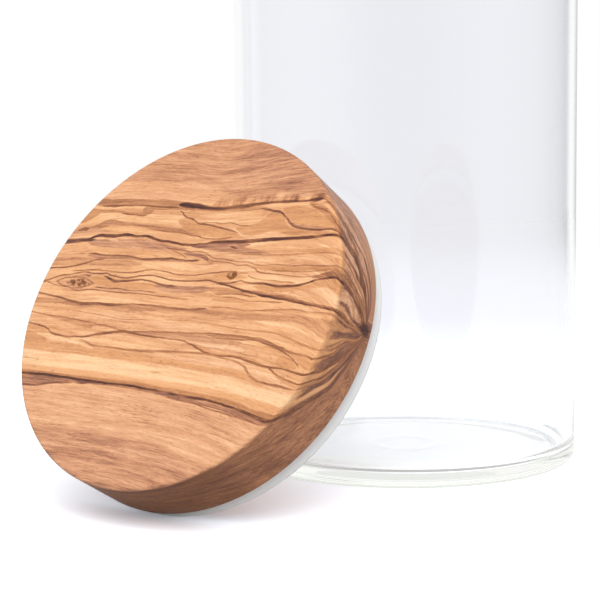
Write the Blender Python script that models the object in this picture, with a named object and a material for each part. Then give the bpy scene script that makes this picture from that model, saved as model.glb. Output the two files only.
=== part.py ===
"""A straight-walled glass storage jar with its turned wooden lid taken off.

The jar stands at the origin, on the plane z = 0. The lid leans against it from
the front left: the soft seal under its rim rests on the ground and against the
glass, and its top face looks outwards and up. Metres, +Z up.
"""

import math

import bmesh
import bpy
from mathutils import Euler, Vector

# Jar
JAR_DIAMETER = 0.1000
JAR_HEIGHT = 0.2000
WALL = 0.0025
BASE_THICKNESS = 0.0035
HEEL_RADIUS = 0.0030          # outside corner between base and wall
FLOOR_CORNER_RADIUS = 0.0045  # inside corner between floor and wall

# Wooden lid, in its own frame: z = 0 is the shoulder that sits on the jar's rim
LID_SET_BACK = 0.0010         # how far the wood's side lies inside the glass's outside
LID_THICKNESS = 0.0175
FACE_EDGE_RADIUS = 0.0009
SHOULDER_EDGE_RADIUS = 0.0005
PLUG_FOOT_THICKNESS = 0.0009  # the turned foot that keeps the seal on the plug
PLUG_FOOT_STEP = 0.0009       # how far that foot stands out past the groove
PLUG_FOOT_CHAMFER = 0.0004

# Silicone seal in the groove under the shoulder
SEAL_SQUEEZE = 0.0004         # how much the free lip is larger than the jar's bore
SEAL_HEIGHT = 0.0049
SEAL_THICKNESS = 0.0042
SEAL_BAND_STEP = 0.0007       # how far the band lies inside the lip
LIP_RADIUS = 0.0007
UPPER_LIP_SHARE = 0.55        # the upper lip's reach, as a share of the lower one's

# Fits
FIT_GAP = 0.0003              # between a piece and the one it sits in or leans on

# The lid's lean, taken off the jar
FACE_ELEVATION = math.radians(30.6)   # of the top face's normal above the ground
FACE_HEADING = math.radians(-122.0)   # of that normal seen from above, from +X
PLACE_HEADING = math.radians(-128.5)  # from the jar's axis to the lid's face

# Roundness of the turned pieces
SEGMENTS = 96
CORNER_STEPS = 4

# Worked out from the sizes above
JAR_RADIUS = JAR_DIAMETER / 2
BORE_RADIUS = JAR_RADIUS - WALL
LID_RADIUS = JAR_RADIUS - LID_SET_BACK
SEAL_RADIUS = BORE_RADIUS + SEAL_SQUEEZE
SEAL_BORE_RADIUS = SEAL_RADIUS - SEAL_THICKNESS
GROOVE_RADIUS = SEAL_BORE_RADIUS - FIT_GAP
PLUG_FOOT_RADIUS = GROOVE_RADIUS + PLUG_FOOT_STEP
SEAL_TOP = -FIT_GAP
SEAL_BOTTOM = SEAL_TOP - SEAL_HEIGHT
PLUG_FOOT_TOP = SEAL_BOTTOM - FIT_GAP
PLUG_BOTTOM = PLUG_FOOT_TOP - PLUG_FOOT_THICKNESS


def arc(centre, radius, start, end, steps=CORNER_STEPS):
    """Points of an arc in the profile's plane; angles in degrees from +X."""
    points = []
    for step in range(steps + 1):
        angle = math.radians(start + (end - start) * step / steps)
        points.append((centre[0] + radius * math.cos(angle),
                       centre[1] + radius * math.sin(angle)))
    return points


def jar_profile():
    """From the flat underside, up the outside, over the rim and down to the floor."""
    rim_radius = WALL / 2
    heel = (JAR_RADIUS - HEEL_RADIUS, HEEL_RADIUS)
    corner = (BORE_RADIUS - FLOOR_CORNER_RADIUS, BASE_THICKNESS + FLOOR_CORNER_RADIUS)
    rim = (JAR_RADIUS - rim_radius, JAR_HEIGHT - rim_radius)
    return [
        *arc(heel, HEEL_RADIUS, -90, 0),
        *arc(rim, rim_radius, 0, 180, 2 * CORNER_STEPS),
        *arc(corner, FLOOR_CORNER_RADIUS, 0, -90),
    ]


def lid_profile():
    """From the flat top face, down the side and round the seal's groove."""
    face = (LID_RADIUS - FACE_EDGE_RADIUS, LID_THICKNESS - FACE_EDGE_RADIUS)
    shoulder = (LID_RADIUS - SHOULDER_EDGE_RADIUS, SHOULDER_EDGE_RADIUS)
    return [
        *arc(face, FACE_EDGE_RADIUS, 90, 0),
        *arc(shoulder, SHOULDER_EDGE_RADIUS, 0, -90),
        (GROOVE_RADIUS, 0),
        (GROOVE_RADIUS, PLUG_FOOT_TOP),
        (PLUG_FOOT_RADIUS, PLUG_FOOT_TOP),
        (PLUG_FOOT_RADIUS, PLUG_BOTTOM + PLUG_FOOT_CHAMFER),
        (PLUG_FOOT_RADIUS - PLUG_FOOT_CHAMFER, PLUG_BOTTOM),
    ]


def seal_profile():
    """A closed outline: a flat band in the groove, and two soft lips outside it."""
    band_radius = SEAL_RADIUS - SEAL_BAND_STEP
    upper_radius = band_radius + SEAL_BAND_STEP * UPPER_LIP_SHARE
    upper = (upper_radius - LIP_RADIUS, SEAL_TOP - LIP_RADIUS)
    lower = (SEAL_RADIUS - LIP_RADIUS, SEAL_BOTTOM + LIP_RADIUS)
    waist = (band_radius, (SEAL_TOP + SEAL_BOTTOM) / 2)
    return [
        (SEAL_BORE_RADIUS, SEAL_TOP),
        *arc(upper, LIP_RADIUS, 90, 0),
        waist,
        *arc(lower, LIP_RADIUS, 0, -90),
        (SEAL_BORE_RADIUS, SEAL_BOTTOM),
    ]


def material(name, colour, roughness, transmission=0.0, ior=1.5):
    made = bpy.data.materials.new(name)
    made.use_nodes = True
    shader = made.node_tree.nodes["Principled BSDF"]
    shader.inputs["Base Color"].default_value = (*colour, 1.0)
    shader.inputs["Roughness"].default_value = roughness
    shader.inputs["Metallic"].default_value = 0.0
    shader.inputs["Transmission Weight"].default_value = transmission
    shader.inputs["IOR"].default_value = ior
    made.diffuse_color = (*colour, 1.0)
    return made


def turned(name, profile, look, closed=False):
    """A round piece: the profile spun about Z, its flat ends filled unless it is a ring."""
    shape = bmesh.new()
    points = [shape.verts.new((radius, 0, height)) for radius, height in profile]
    edges = [shape.edges.new(pair) for pair in zip(points, points[1:])]
    if closed:
        edges.append(shape.edges.new((points[-1], points[0])))
    bmesh.ops.spin(
        shape, geom=points + edges, cent=(0, 0, 0), axis=(0, 0, 1),
        angle=2 * math.pi, steps=SEGMENTS, use_merge=True)
    open_edges = [edge for edge in shape.edges if edge.is_boundary]
    bmesh.ops.holes_fill(shape, edges=open_edges)
    bmesh.ops.recalc_face_normals(shape, faces=shape.faces)
    mesh = bpy.data.meshes.new(name)
    shape.to_mesh(mesh)
    shape.free()
    mesh.shade_smooth()
    mesh.set_sharp_from_angle(angle=math.radians(35))
    mesh.materials.append(look)
    piece = bpy.data.objects.new(name, mesh)
    bpy.context.scene.collection.objects.link(piece)
    return piece


def lid_turn():
    """The turn that points the lid's +Z out of its top face, leaning back."""
    return Euler((0, math.pi / 2 - FACE_ELEVATION, FACE_HEADING))


def lid_place():
    """Where the lid's frame lies when it rests on the ground and against the glass."""
    turn = lid_turn().to_matrix()
    samples = 4 * SEGMENTS
    points = [
        turn @ Vector((radius * math.cos(angle), radius * math.sin(angle), height))
        for radius, height in lid_profile() + seal_profile()
        for angle in (2 * math.pi * step / samples for step in range(samples))
    ]
    lift = -min(point.z for point in points)
    heading = Vector((math.cos(PLACE_HEADING), math.sin(PLACE_HEADING)))
    face_centre = (turn @ Vector((0, 0, LID_THICKNESS))).xy
    clear = JAR_RADIUS + FIT_GAP
    distance = 0.0
    for point in points:
        side = point.xy - face_centre
        along = side.dot(heading)
        across = side.dot(side) - along ** 2
        if across < clear ** 2:
            distance = max(distance, math.sqrt(clear ** 2 - across) - along)
    offset = heading * distance - face_centre
    return Vector((*offset, lift))


def clear_scene():
    for old in list(bpy.data.objects):
        bpy.data.objects.remove(old, do_unlink=True)


def main():
    clear_scene()
    glass = material("clear_glass", (0.95, 0.96, 0.98), 0.02, transmission=1.0, ior=1.47)
    wood = material("olive_wood", (0.66, 0.40, 0.20), 0.5)
    silicone = material("white_silicone", (0.78, 0.79, 0.77), 0.4)

    turned("glass_jar", jar_profile(), glass)

    lid = bpy.data.objects.new("lid_off_the_jar", None)
    bpy.context.scene.collection.objects.link(lid)
    lid.rotation_euler = lid_turn()
    lid.location = lid_place()

    turned("wood_lid", lid_profile(), wood).parent = lid
    turned("seal_ring", seal_profile(), silicone, closed=True).parent = lid
    bpy.context.view_layer.update()


main()
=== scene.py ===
"""The looks of a glass storage jar whose olive-wood lid leans against it.

Everything is in metres, in the frame of the construction model: the jar stands
on z = 0 at the origin. The wood's figure is laid out in millimetres on the lid's
top face: u runs to the right along the grain, v up the leaning face, and depth
goes down into the wood.
"""

import math

import bmesh
import bpy
from mathutils import Matrix, Vector


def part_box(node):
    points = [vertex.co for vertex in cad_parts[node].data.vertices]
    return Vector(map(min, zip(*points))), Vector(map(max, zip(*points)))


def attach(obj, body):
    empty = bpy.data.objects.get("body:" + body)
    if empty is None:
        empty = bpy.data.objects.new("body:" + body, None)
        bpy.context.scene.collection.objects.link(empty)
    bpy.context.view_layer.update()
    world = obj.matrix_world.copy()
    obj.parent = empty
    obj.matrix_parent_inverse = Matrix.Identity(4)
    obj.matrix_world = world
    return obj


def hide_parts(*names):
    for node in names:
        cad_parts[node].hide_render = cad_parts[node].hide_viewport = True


MM = 0.001
RELIEF_DEPTH = 0.1 * MM      # of the fine relief on the wood and the seal

# The photograph's camera, in millimetres and degrees
CAMERA_PLACE = (0.0, -439.8, 89.5)
CAMERA_PITCH = 5.55          # down
CAMERA_YAW = -4.11           # to the left of +Y
CAMERA_ROLL = -0.61
CAMERA_LENS = 88.44
CAMERA_SENSOR = 36.0

# Glass, in millimetres
WALL = 2.5
HEEL_RADIUS = 3.0
BASE_THICKNESS = 3.5
FLOOR_CORNER_RADIUS = 4.5
FOOT_WIDTH = 3.5             # the flat ring that the jar stands on
PUSH_UP = 0.5                # how far the underside's middle stands clear
NUB_RADIUS = 9.5             # the mark left where the base was closed
NUB_DEPTH = 0.03

# Wooden lid, in millimetres below its top face
LID_THICKNESS = 17.5
FACE_EDGE_RADIUS = 0.9
SHOULDER_EDGE_RADIUS = 0.5
GROOVE_RADIUS = 43.4
PLUG_FOOT_RADIUS = 44.3
PLUG_FOOT_TOP = 23.0
PLUG_BOTTOM = 23.9
PLUG_FOOT_CHAMFER = 0.4
GROOVE_EDGE = 0.05           # how far the groove's corners are cut
FOOT_EDGE = 0.1              # the same for the foot's upper corner

# Seal
SEAL_TOP = 17.8
SEAL_BOTTOM = 22.7
SEAL_RADIUS = 47.9
SEAL_BORE_RADIUS = 43.7
SEAL_BAND_STEP = 0.7
UPPER_LIP_REACH = 0.4
LIP_RADIUS = 0.7
SEAL_EDGE = 0.1              # how far the corners in the groove are cut

# Turning
ROUND_STEPS = 256            # of the wooden lid and the seal
GLASS_ROUND_STEPS = 384
SWEEP_RADIUS = 10.0          # of the circle that carries a profile round
SEAM = 0.001                 # points that are closer than this become one
SHARP_ANGLE = 40             # degrees from which the wooden lid's edges are sharp


def srgb(red, green, blue):
    """A colour as seen on screen, 0 to 255, as the linear colour that a shader takes."""
    def linear(value):
        value /= 255
        return value / 12.92 if value <= 0.04045 else ((value + 0.055) / 1.055) ** 2.4
    return (linear(red), linear(green), linear(blue), 1.0)


# Shader maths

class Wire:
    """A node's output, on which arithmetic adds Math nodes."""

    def __init__(self, nodes, socket):
        self.nodes = nodes
        self.socket = socket

    def math(self, operation, *others):
        """This value and the others through one Math node."""
        inputs = dict(enumerate((self, *others)))
        return self.nodes.add("ShaderNodeMath", {"operation": operation}, inputs)

    def __add__(self, other):
        return self.math("ADD", other)

    def __sub__(self, other):
        return self.math("SUBTRACT", other)

    def __mul__(self, other):
        return self.math("MULTIPLY", other)

    def __truediv__(self, other):
        return self.math("DIVIDE", other)

    def __rsub__(self, other):
        return self.nodes.add("ShaderNodeMath", {"operation": "SUBTRACT"}, {0: other, 1: self})

    __radd__ = __add__
    __rmul__ = __mul__

    def __abs__(self):
        return self.math("ABSOLUTE")

    def step(self, low, high):
        """0 below low, 1 above high, and smooth between them."""
        return self.nodes.add(
            "ShaderNodeMapRange", {"interpolation_type": "SMOOTHSTEP"},
            {"Value": self, "From Min": low, "From Max": high})

    def blend(self, other, share):
        """This value where share is 0, the other where it is 1."""
        return self.nodes.add("ShaderNodeMix", {"data_type": "FLOAT"}, {0: share, 2: self, 3: other})

    def beside(self, name):
        """Another output of the same node."""
        return Wire(self.nodes, self.socket.node.outputs[name])


class Nodes:
    """One node tree, and the maker of its nodes."""

    def __init__(self, tree):
        self.tree = tree
        tree.nodes.clear()

    def add(self, kind, settings=None, inputs=None, out=0):
        """Makes a node from its type, its settings and its inputs, and returns one output."""
        node = self.tree.nodes.new(kind)
        for name, value in (settings or {}).items():
            if name == "stops":
                set_stops(node.color_ramp, value)
            elif name == "curve":
                set_curve(node.mapping, value)
            else:
                setattr(node, name, value)
        for key, value in (inputs or {}).items():
            if isinstance(value, Wire):
                self.tree.links.new(value.socket, node.inputs[key])
            else:
                node.inputs[key].default_value = value
        return Wire(self, node.outputs[out])

    def mix(self, share, first, second):
        """The first colour where share is 0, the second where it is 1."""
        return self.add("ShaderNodeMix", {"data_type": "RGBA"}, {0: share, 6: first, 7: second}, out=2)

    def end(self, kind, **shaders):
        """Makes the tree's last node and joins the named wires to it."""
        node = self.tree.nodes.new(kind)
        for name, wire in shaders.items():
            self.tree.links.new(wire.socket, node.inputs[name])


def set_stops(ramp, stops):
    """Gives a colour ramp its (place, colour) stops."""
    ramp.interpolation = "LINEAR"
    while len(ramp.elements) < len(stops):
        ramp.elements.new(1.0)
    for element, (place, colour) in zip(ramp.elements, stops):
        element.position = place
        element.color = colour


def set_curve(mapping, points):
    """Gives a float curve its (x, y) points, both from 0 to 1."""
    curve = mapping.curves[0]
    while len(curve.points) < len(points):
        curve.points.new(0.5, 0.5)
    for knot, place in zip(curve.points, points):
        knot.location = place
        knot.handle_type = "AUTO"
    mapping.update()


def show(name, data):
    """Puts a mesh, a curve, a lamp or a camera into the scene as an object."""
    made = bpy.data.objects.new(name, data)
    bpy.context.scene.collection.objects.link(made)
    return made


def new_material(name):
    """An empty material, and the maker of its nodes."""
    made = bpy.data.materials.new(name)
    made.use_nodes = True
    return made, Nodes(made.node_tree)


# Turned shapes

def arc(centre, radius, start, end, steps=8):
    """Points of an arc in the profile's plane; angles in degrees from +X."""
    angles = [math.radians(start + (end - start) * step / steps) for step in range(steps + 1)]
    return [(centre[0] + radius * math.cos(a), centre[1] + radius * math.sin(a)) for a in angles]


def line(start, end, steps):
    """Points from start towards end, without the last one."""
    return [(start[0] + (end[0] - start[0]) * step / steps,
             start[1] + (end[1] - start[1]) * step / steps) for step in range(steps)]


def lathe_tree():
    """Nodes that sweep a profile round Z, close its seam and poles, and give it its material."""
    tree = bpy.data.node_groups.new("lathe", "GeometryNodeTree")
    tree.interface.new_socket("Profile", in_out="INPUT", socket_type="NodeSocketGeometry")
    tree.interface.new_socket("Turned piece", in_out="OUTPUT", socket_type="NodeSocketGeometry")
    for name, kind in (("Steps round", "NodeSocketInt"), ("Core radius", "NodeSocketFloat"),
                       ("Finish", "NodeSocketMaterial")):
        tree.interface.new_socket(name, in_out="INPUT", socket_type=kind)
    nodes = Nodes(tree)
    profile = nodes.add("NodeGroupInput")
    steps, core, finish = (profile.beside(name) for name in ("Steps round", "Core radius", "Finish"))
    path = nodes.add("GeometryNodeCurvePrimitiveCircle", {"mode": "RADIUS"},
                     {"Resolution": steps, "Radius": core})
    inwards = nodes.add("ShaderNodeCombineXYZ", None, {0: 0 - core})
    section = nodes.add("GeometryNodeTransform", None, {
        "Geometry": profile, "Translation": inwards, "Scale": (1, -1, 1)})
    swept = nodes.add("GeometryNodeCurveToMesh", None, {0: path, 1: section})
    joined = nodes.add("GeometryNodeMergeByDistance", None, {"Geometry": swept, "Distance": SEAM * MM})
    real = nodes.add("GeometryNodeRealizeInstances", None, {"Geometry": joined})
    done = nodes.add("GeometryNodeSetMaterial", None, {"Geometry": real, "Material": finish})
    nodes.end("NodeGroupOutput", **{"Turned piece": done})
    return tree


def turned(name, profile, place, steps, finish, closed=False):
    """Turns a profile of (radius, height) in millimetres, and puts the piece at its place."""
    outline = bpy.data.curves.new(name, "CURVE")
    outline.dimensions = "3D"
    spline = outline.splines.new("POLY")
    spline.points.add(len(profile) - 1)
    spline.use_cyclic_u = closed
    for point, (radius, height) in zip(spline.points, profile):
        point.co = (radius * MM, height * MM, 0, 1)
    holder = show(name + "_outline", outline)
    lathe = holder.modifiers.new("lathe", "NODES")
    tree = bpy.data.node_groups.get("lathe") or lathe_tree()
    values = {"Steps round": steps, "Core radius": SWEEP_RADIUS * MM, "Finish": finish}
    lathe.node_group = tree
    for socket in tree.interface.items_tree:
        if socket.name in values:
            lathe[socket.identifier] = values[socket.name]
    settled = holder.evaluated_get(bpy.context.evaluated_depsgraph_get())
    mesh = bpy.data.meshes.new_from_object(settled)
    bpy.data.objects.remove(holder)
    mesh.name = name
    shape = bmesh.new()
    shape.from_mesh(mesh)
    bmesh.ops.recalc_face_normals(shape, faces=shape.faces)
    shape.to_mesh(mesh)
    shape.free()
    mesh.transform(place)
    mesh.shade_smooth()
    return show(name, mesh)


def face_frame(node):
    """A frame in the middle of the lid's top face: Z out of it, X down its slope, Y along it."""
    out = max(node.data.polygons, key=lambda face: face.area).normal.copy()
    along = Vector((0, 0, 1)).cross(out).normalized()
    rows = Matrix((along.cross(out), along, out))
    spots = [rows @ corner.co for corner in node.data.vertices]
    low = [min(spot[axis] for spot in spots) for axis in range(3)]
    high = [max(spot[axis] for spot in spots) for axis in range(3)]
    middle = Vector(((low[0] + high[0]) / 2, (low[1] + high[1]) / 2, high[2]))
    turn = rows.transposed()
    return Matrix.Translation(turn @ middle) @ turn.to_4x4()


# Glass jar

GLASS_BEND = 1.474           # index of refraction
BASE_TINT = (0.988, 0.992, 0.955, 1.0)
WALL_TINT = (0.956, 0.959, 0.983, 1.0)
TINT_CHANGE = (3.0, 12.0)    # the heights between which one tint gives way to the other
PASSED_TINT = (0.985, 0.985, 0.99, 1.0)      # of light that only passes to or from other things
CAUGHT_TURNS = 4.5           # light that has turned more often than this is caught in the wall
CAUGHT_TINT = (0.94, 0.955, 0.925, 1.0)


def jar_profile(radius, height):
    """From the middle of the underside round the outside, the rim and the inside."""
    bore = radius - WALL
    rim = WALL / 2
    foot = radius - HEEL_RADIUS
    corner = (bore - FLOOR_CORNER_RADIUS, BASE_THICKNESS + FLOOR_CORNER_RADIUS)
    under = [
        (0, PUSH_UP),
        (NUB_RADIUS * 0.6, PUSH_UP),
        (NUB_RADIUS * 0.85, PUSH_UP - NUB_DEPTH * 0.3),
        (NUB_RADIUS, PUSH_UP - NUB_DEPTH),
        (NUB_RADIUS * 1.15, PUSH_UP - NUB_DEPTH * 0.3),
        (NUB_RADIUS * 1.45, PUSH_UP),
        *line((foot * 0.5, PUSH_UP), (foot * 0.8, PUSH_UP * 0.95), 3),
        *line((foot * 0.8, PUSH_UP * 0.95), (foot - FOOT_WIDTH, PUSH_UP * 0.12), 3),
        *line((foot - FOOT_WIDTH, 0.0), (foot, 0.0), 2),
    ]
    outside = arc((foot, HEEL_RADIUS), HEEL_RADIUS, -90, 0, 12)
    wall = line((radius, HEEL_RADIUS + 1), (radius, height - rim - 1), 12)
    top = arc((radius - rim, height - rim), rim, 0, 180, 14)
    inner_wall = line((bore, height - rim - 1), (bore, corner[1] + 1), 12)
    floor_corner = arc(corner, FLOOR_CORNER_RADIUS, 0, -90, 12)
    floor = [
        *line((corner[0] - 1, BASE_THICKNESS), (NUB_RADIUS * 1.6, BASE_THICKNESS), 4),
        (NUB_RADIUS * 1.2, BASE_THICKNESS + 0.005),
        (NUB_RADIUS * 0.7, BASE_THICKNESS + 0.015),
        (0, BASE_THICKNESS + 0.02),
    ]
    return under + outside + wall + top + inner_wall + floor_corner + floor


def clear_glass():
    """Polished glass, faintly green in the thick base and faintly blue in the wall.

    Light that stays caught in the wall is let out straight, and so is the light that falls on
    other things through the glass, so that the jar casts hardly any shadow.
    """
    made, nodes = new_material("clear_glass")
    place = nodes.add("ShaderNodeSeparateXYZ", None, {0: nodes.add("ShaderNodeTexCoord", out="Object")})
    height = place.beside(2) / MM
    tint = nodes.mix(height.step(*TINT_CHANGE), BASE_TINT, WALL_TINT)
    glass = nodes.add("ShaderNodeBsdfPrincipled", None, {
        "Base Color": tint, "Roughness": 0.0, "IOR": GLASS_BEND, "Transmission Weight": 1.0})
    passed = nodes.add("ShaderNodeBsdfTransparent", None, {"Color": PASSED_TINT})
    shadow = nodes.add("ShaderNodeLightPath", out="Is Shadow Ray")
    caught = shadow.beside("Ray Depth").math("GREATER_THAN", CAUGHT_TURNS)
    let_out = nodes.add("ShaderNodeBsdfTransparent", None, {"Color": CAUGHT_TINT})
    polished = nodes.add("ShaderNodeMixShader", None, {0: caught, 1: glass, 2: let_out})
    light = shadow.math("MAXIMUM", shadow.beside("Is Diffuse Ray"))
    look = nodes.add("ShaderNodeMixShader", None, {0: light, 1: polished, 2: passed})
    nodes.end("ShaderNodeOutputMaterial", Surface=look)
    return made


def make_jar():
    """The jar, as wide and as high as the construction model's."""
    low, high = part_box("glass_jar")
    radius = (high.x - low.x) / 2 / MM
    height = (high.z - low.z) / MM
    jar = turned("clear_glass_jar", jar_profile(radius, height), Matrix.Identity(4),
                 GLASS_ROUND_STEPS, clear_glass())
    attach(jar, "jar")
    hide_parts("glass_jar")


# Olive wood

GRAIN_REACH = 52.0           # the figure's curves run from -GRAIN_REACH to GRAIN_REACH
THINNEST = -2.0              # half widths that a stroke's curve can hold
WIDEST = 16.0
GONE = -1.5                  # half width at which a stroke has vanished
IN_TURN = 0.0000001          # makes each stroke wait for the last, so that few are held at once
STROKE_INK = 0.95            # how far a zone's or band's stroke covers what lies under it
DARKEST_LINE = 0.90

# A stroke follows the grain: tone, pinkness, fade above and below, then (u, v, half width) at
# places along its middle. Tone runs from 0, cream, to 1, the near-black of the heart lines.
# Zones are the broadest strokes, bands lie over them, and lines are the thin dark ones.
ZONES = (
    (0.34, 0.62, 1.2, 1.2, (-52, 51.5, 14.5), (-30, 50.8, 14.5), (-8, 49.8, 14.3), (2, 47.5, 14),
     (14, 45.3, 14), (30, 46.4, 14), (40, 47, 13.5), (52, 47, 13.5)),
    (0.23, 0.4, 1.2, 0.3, (-42, 32.2, 1.7), (-30, 32.6, 2), (-16, 32.7, 2.1), (-5, 32.2, 2), (2, 31, 1.4),
     (8, 30.6, 0.5), (12, 30.8, GONE)),
    (0.25, 0.55, 0.6, 1, (-52, -40.3, 15), (-30, -39.6, 15), (0, -38.8, 15), (20, -41, 15), (40, -44, 15),
     (52, -46, 15)),
    (0.42, 0.8, 5, 5, (4, 42, GONE), (14, 41, 2.5), (24, 40, 4), (36, 39, 4), (46, 35, 4)),
    (0.38, 0.75, 3, 2, (-52, -45, 6), (-20, -45.5, 8), (0, -46.5, 9), (30, -51, 8), (52, -56, 7)),
    (0.08, 0, 0.5, 0.5, (-38, 24.2, GONE), (-30, 24.6, 0.7), (-14, 24.7, 0.9), (-6, 24.8, 0.5),
     (0, 25.2, GONE)),
    (0.08, 0.1, 0.6, 0.6, (14, 17.8, GONE), (20, 17.8, 0.9), (34, 17.8, 1), (42, 18, 0.4), (46, 18, GONE)),
    (0.08, 0.1, 0.5, 0.5, (24, 9.2, GONE), (28, 9, 0.6), (36, 8.8, 0.8), (42, 8, 0.5), (46, 7.4, GONE)),
    (0.08, 0, 0.4, 0.5, (14, -3.2, GONE), (20, -3.4, 0.6), (40, -3.6, 0.8), (47, -4.4, 0.4)),
    (0.1, 0, 0.5, 0.5, (-24, -11.2, GONE), (-18, -11.2, 0.6), (5, -11.4, 0.7), (12, -12, 0.4),
     (16, -12.6, GONE)),
    (0.01, 0, 0.5, 1, (-50, -17.1, 1.3), (-30, -17.2, 1.6), (-10, -17.8, 1.8), (5, -18.2, 1.7),
     (18, -18.9, 1.6), (30, -20.3, 1.5), (40, -21.6, 1.2), (52, -23.5, 1.2)),
    (0.31, 0, 0.9, 0.3, (-50, -13.6, 1.5), (-44, -13.9, 1.1), (-36, -14, 1.1), (-26, -14.2, 1),
     (-16, -14.7, 0.9), (-6, -14.8, 0.8), (4, -15.3, 0.6), (12, -15.9, 0.55), (20, -16.2, 0.6),
     (28, -16.7, 0.6), (31, -17.4, 0.45), (34, -18.4, 0.2), (38, -19.4, GONE)),
    (0.24, 0, 0.8, 0.5, (-50, -20.4, 0.3), (0, -20.8, 0.35), (20, -21.8, 0.5), (30, -23, 0.7),
     (40, -24.6, 0.8), (50, -26.5, 0.8)),
)
TOP_BANDS = (
    (0.5, 0.35, 0.4, 0.3, (-50, 29, 0.7), (-40, 29.2, 0.8), (-30, 29.3, 0.85), (-20, 29.3, 0.85),
     (-12, 29.2, 0.7), (-8, 28.9, 0.4), (-6, 28.8, GONE)),
    (0.42, 0.2, 0.3, 0.25, (-20, 27.7, GONE), (-18, 27.7, 0.35), (-10, 27.6, 0.25), (0, 27.4, 0.25),
     (8, 27.6, 0.25), (18, 28.3, 0.2), (22, 28.9, GONE)),
    (0.42, 0.2, 0.3, 0.3, (-22.2, 27.2, GONE), (-21.2, 27.2, 0.6), (-19, 27.2, 0.8), (-18, 27.3, 0.3),
     (-17, 27.4, GONE)),
    (0.45, 0.2, 0.35, 0.25, (-42, 26.2, 0.3), (-38, 26.4, 0.35), (-34, 26.5, 0.3), (-30, 26.4, 0.28),
     (-27, 26, 0.3), (-22, 25.9, 0.3), (-20, 26, 0.3), (-18.6, 26.6, 0.4), (-17.4, 27.3, GONE)),
    (0.42, 0, 0.4, 0.4, (-48, 24.4, 2), (-42, 25, 2.1), (-39, 25.7, 1.4), (-36.5, 26.4, 0.4),
     (-35, 26.7, GONE)),
    (0.45, 0.4, 0.35, 0.5, (-46, 20.2, 0.6), (-41, 20.7, 0.4), (-38, 21.2, 0.4), (-35.5, 21.8, 0.7),
     (-33, 22.8, 0.9), (-31, 23.2, 0.7), (-29, 23.1, 0.55), (-27, 22.9, 0.3), (-24, 22.85, 0.15),
     (-20, 22.5, 0.15), (-17, 22.1, 0.35), (-14, 21.7, 0.55), (-10, 21.4, 0.45), (-6, 21.1, 0.4),
     (-3, 20.6, 0.2), (0, 20.2, 0.1), (3, 19.8, GONE)),
    (0.31, 0.5, 0.4, 0.4, (-48, 19.2, 0.5), (-42, 19.6, 0.5), (-36, 20.3, 0.4), (-32, 20.5, 0.2),
     (-29, 20.6, GONE)),
    (0.36, 0.1, 0.4, 0.4, (-8.5, 24.4, GONE), (-6.5, 23.7, 0.8), (-3, 22.6, 1.6), (1, 21.8, 1.5),
     (5, 21.2, 1.2), (10, 20.6, 0.6), (13.5, 20.3, 0.1), (15, 20.3, GONE)),
    (0.3, 0.2, 0.3, 0.3, (-6.6, 26.3, GONE), (-5, 26.3, 0.5), (-3, 26.1, 0.6), (-1.6, 25.9, 0.3),
     (-0.8, 25.9, GONE)),
    (0.35, 0.1, 0.4, 0.4, (11, 22.4, GONE), (13, 22.1, 0.5), (16, 21.8, 1.1), (20, 23.2, 2.2),
     (22, 24.4, 2.7), (25, 24, 2.1), (28, 22.2, 1), (33, 21.5, 0.5), (40, 21.7, 0.2), (44, 21.4, 0.1)),
    (0.35, 0.1, 0.5, 0.5, (24, 28.5, GONE), (26, 27.6, 0.8), (30, 26.5, 2.2), (34, 25.6, 2.3),
     (38, 24.4, 1.4), (42, 23.4, 0.6), (46, 21.4, 0.4)),
    (0.39, 0.7, 0.5, 0.3, (26, 24.6, GONE), (29, 23.8, 0.3), (32, 23.1, 0.4), (37, 22.7, 0.3),
     (41, 22.7, GONE)),
    (0.45, 0.25, 0.4, 0.5, (31.5, 30, GONE), (33, 29.4, 0.4), (35, 28.8, 0.6), (37, 28, 0.8),
     (40, 26, 0.9), (43, 23.4, 0.8), (46, 20.4, 0.6), (50, 15, 0.6)),
    (0.36, 0.3, 0.4, 0.4, (34, 32, 0.2), (37, 31, 0.5), (40, 28.8, 0.6), (43, 25.5, 0.5), (46, 21.6, 0.4)),
)
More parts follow.
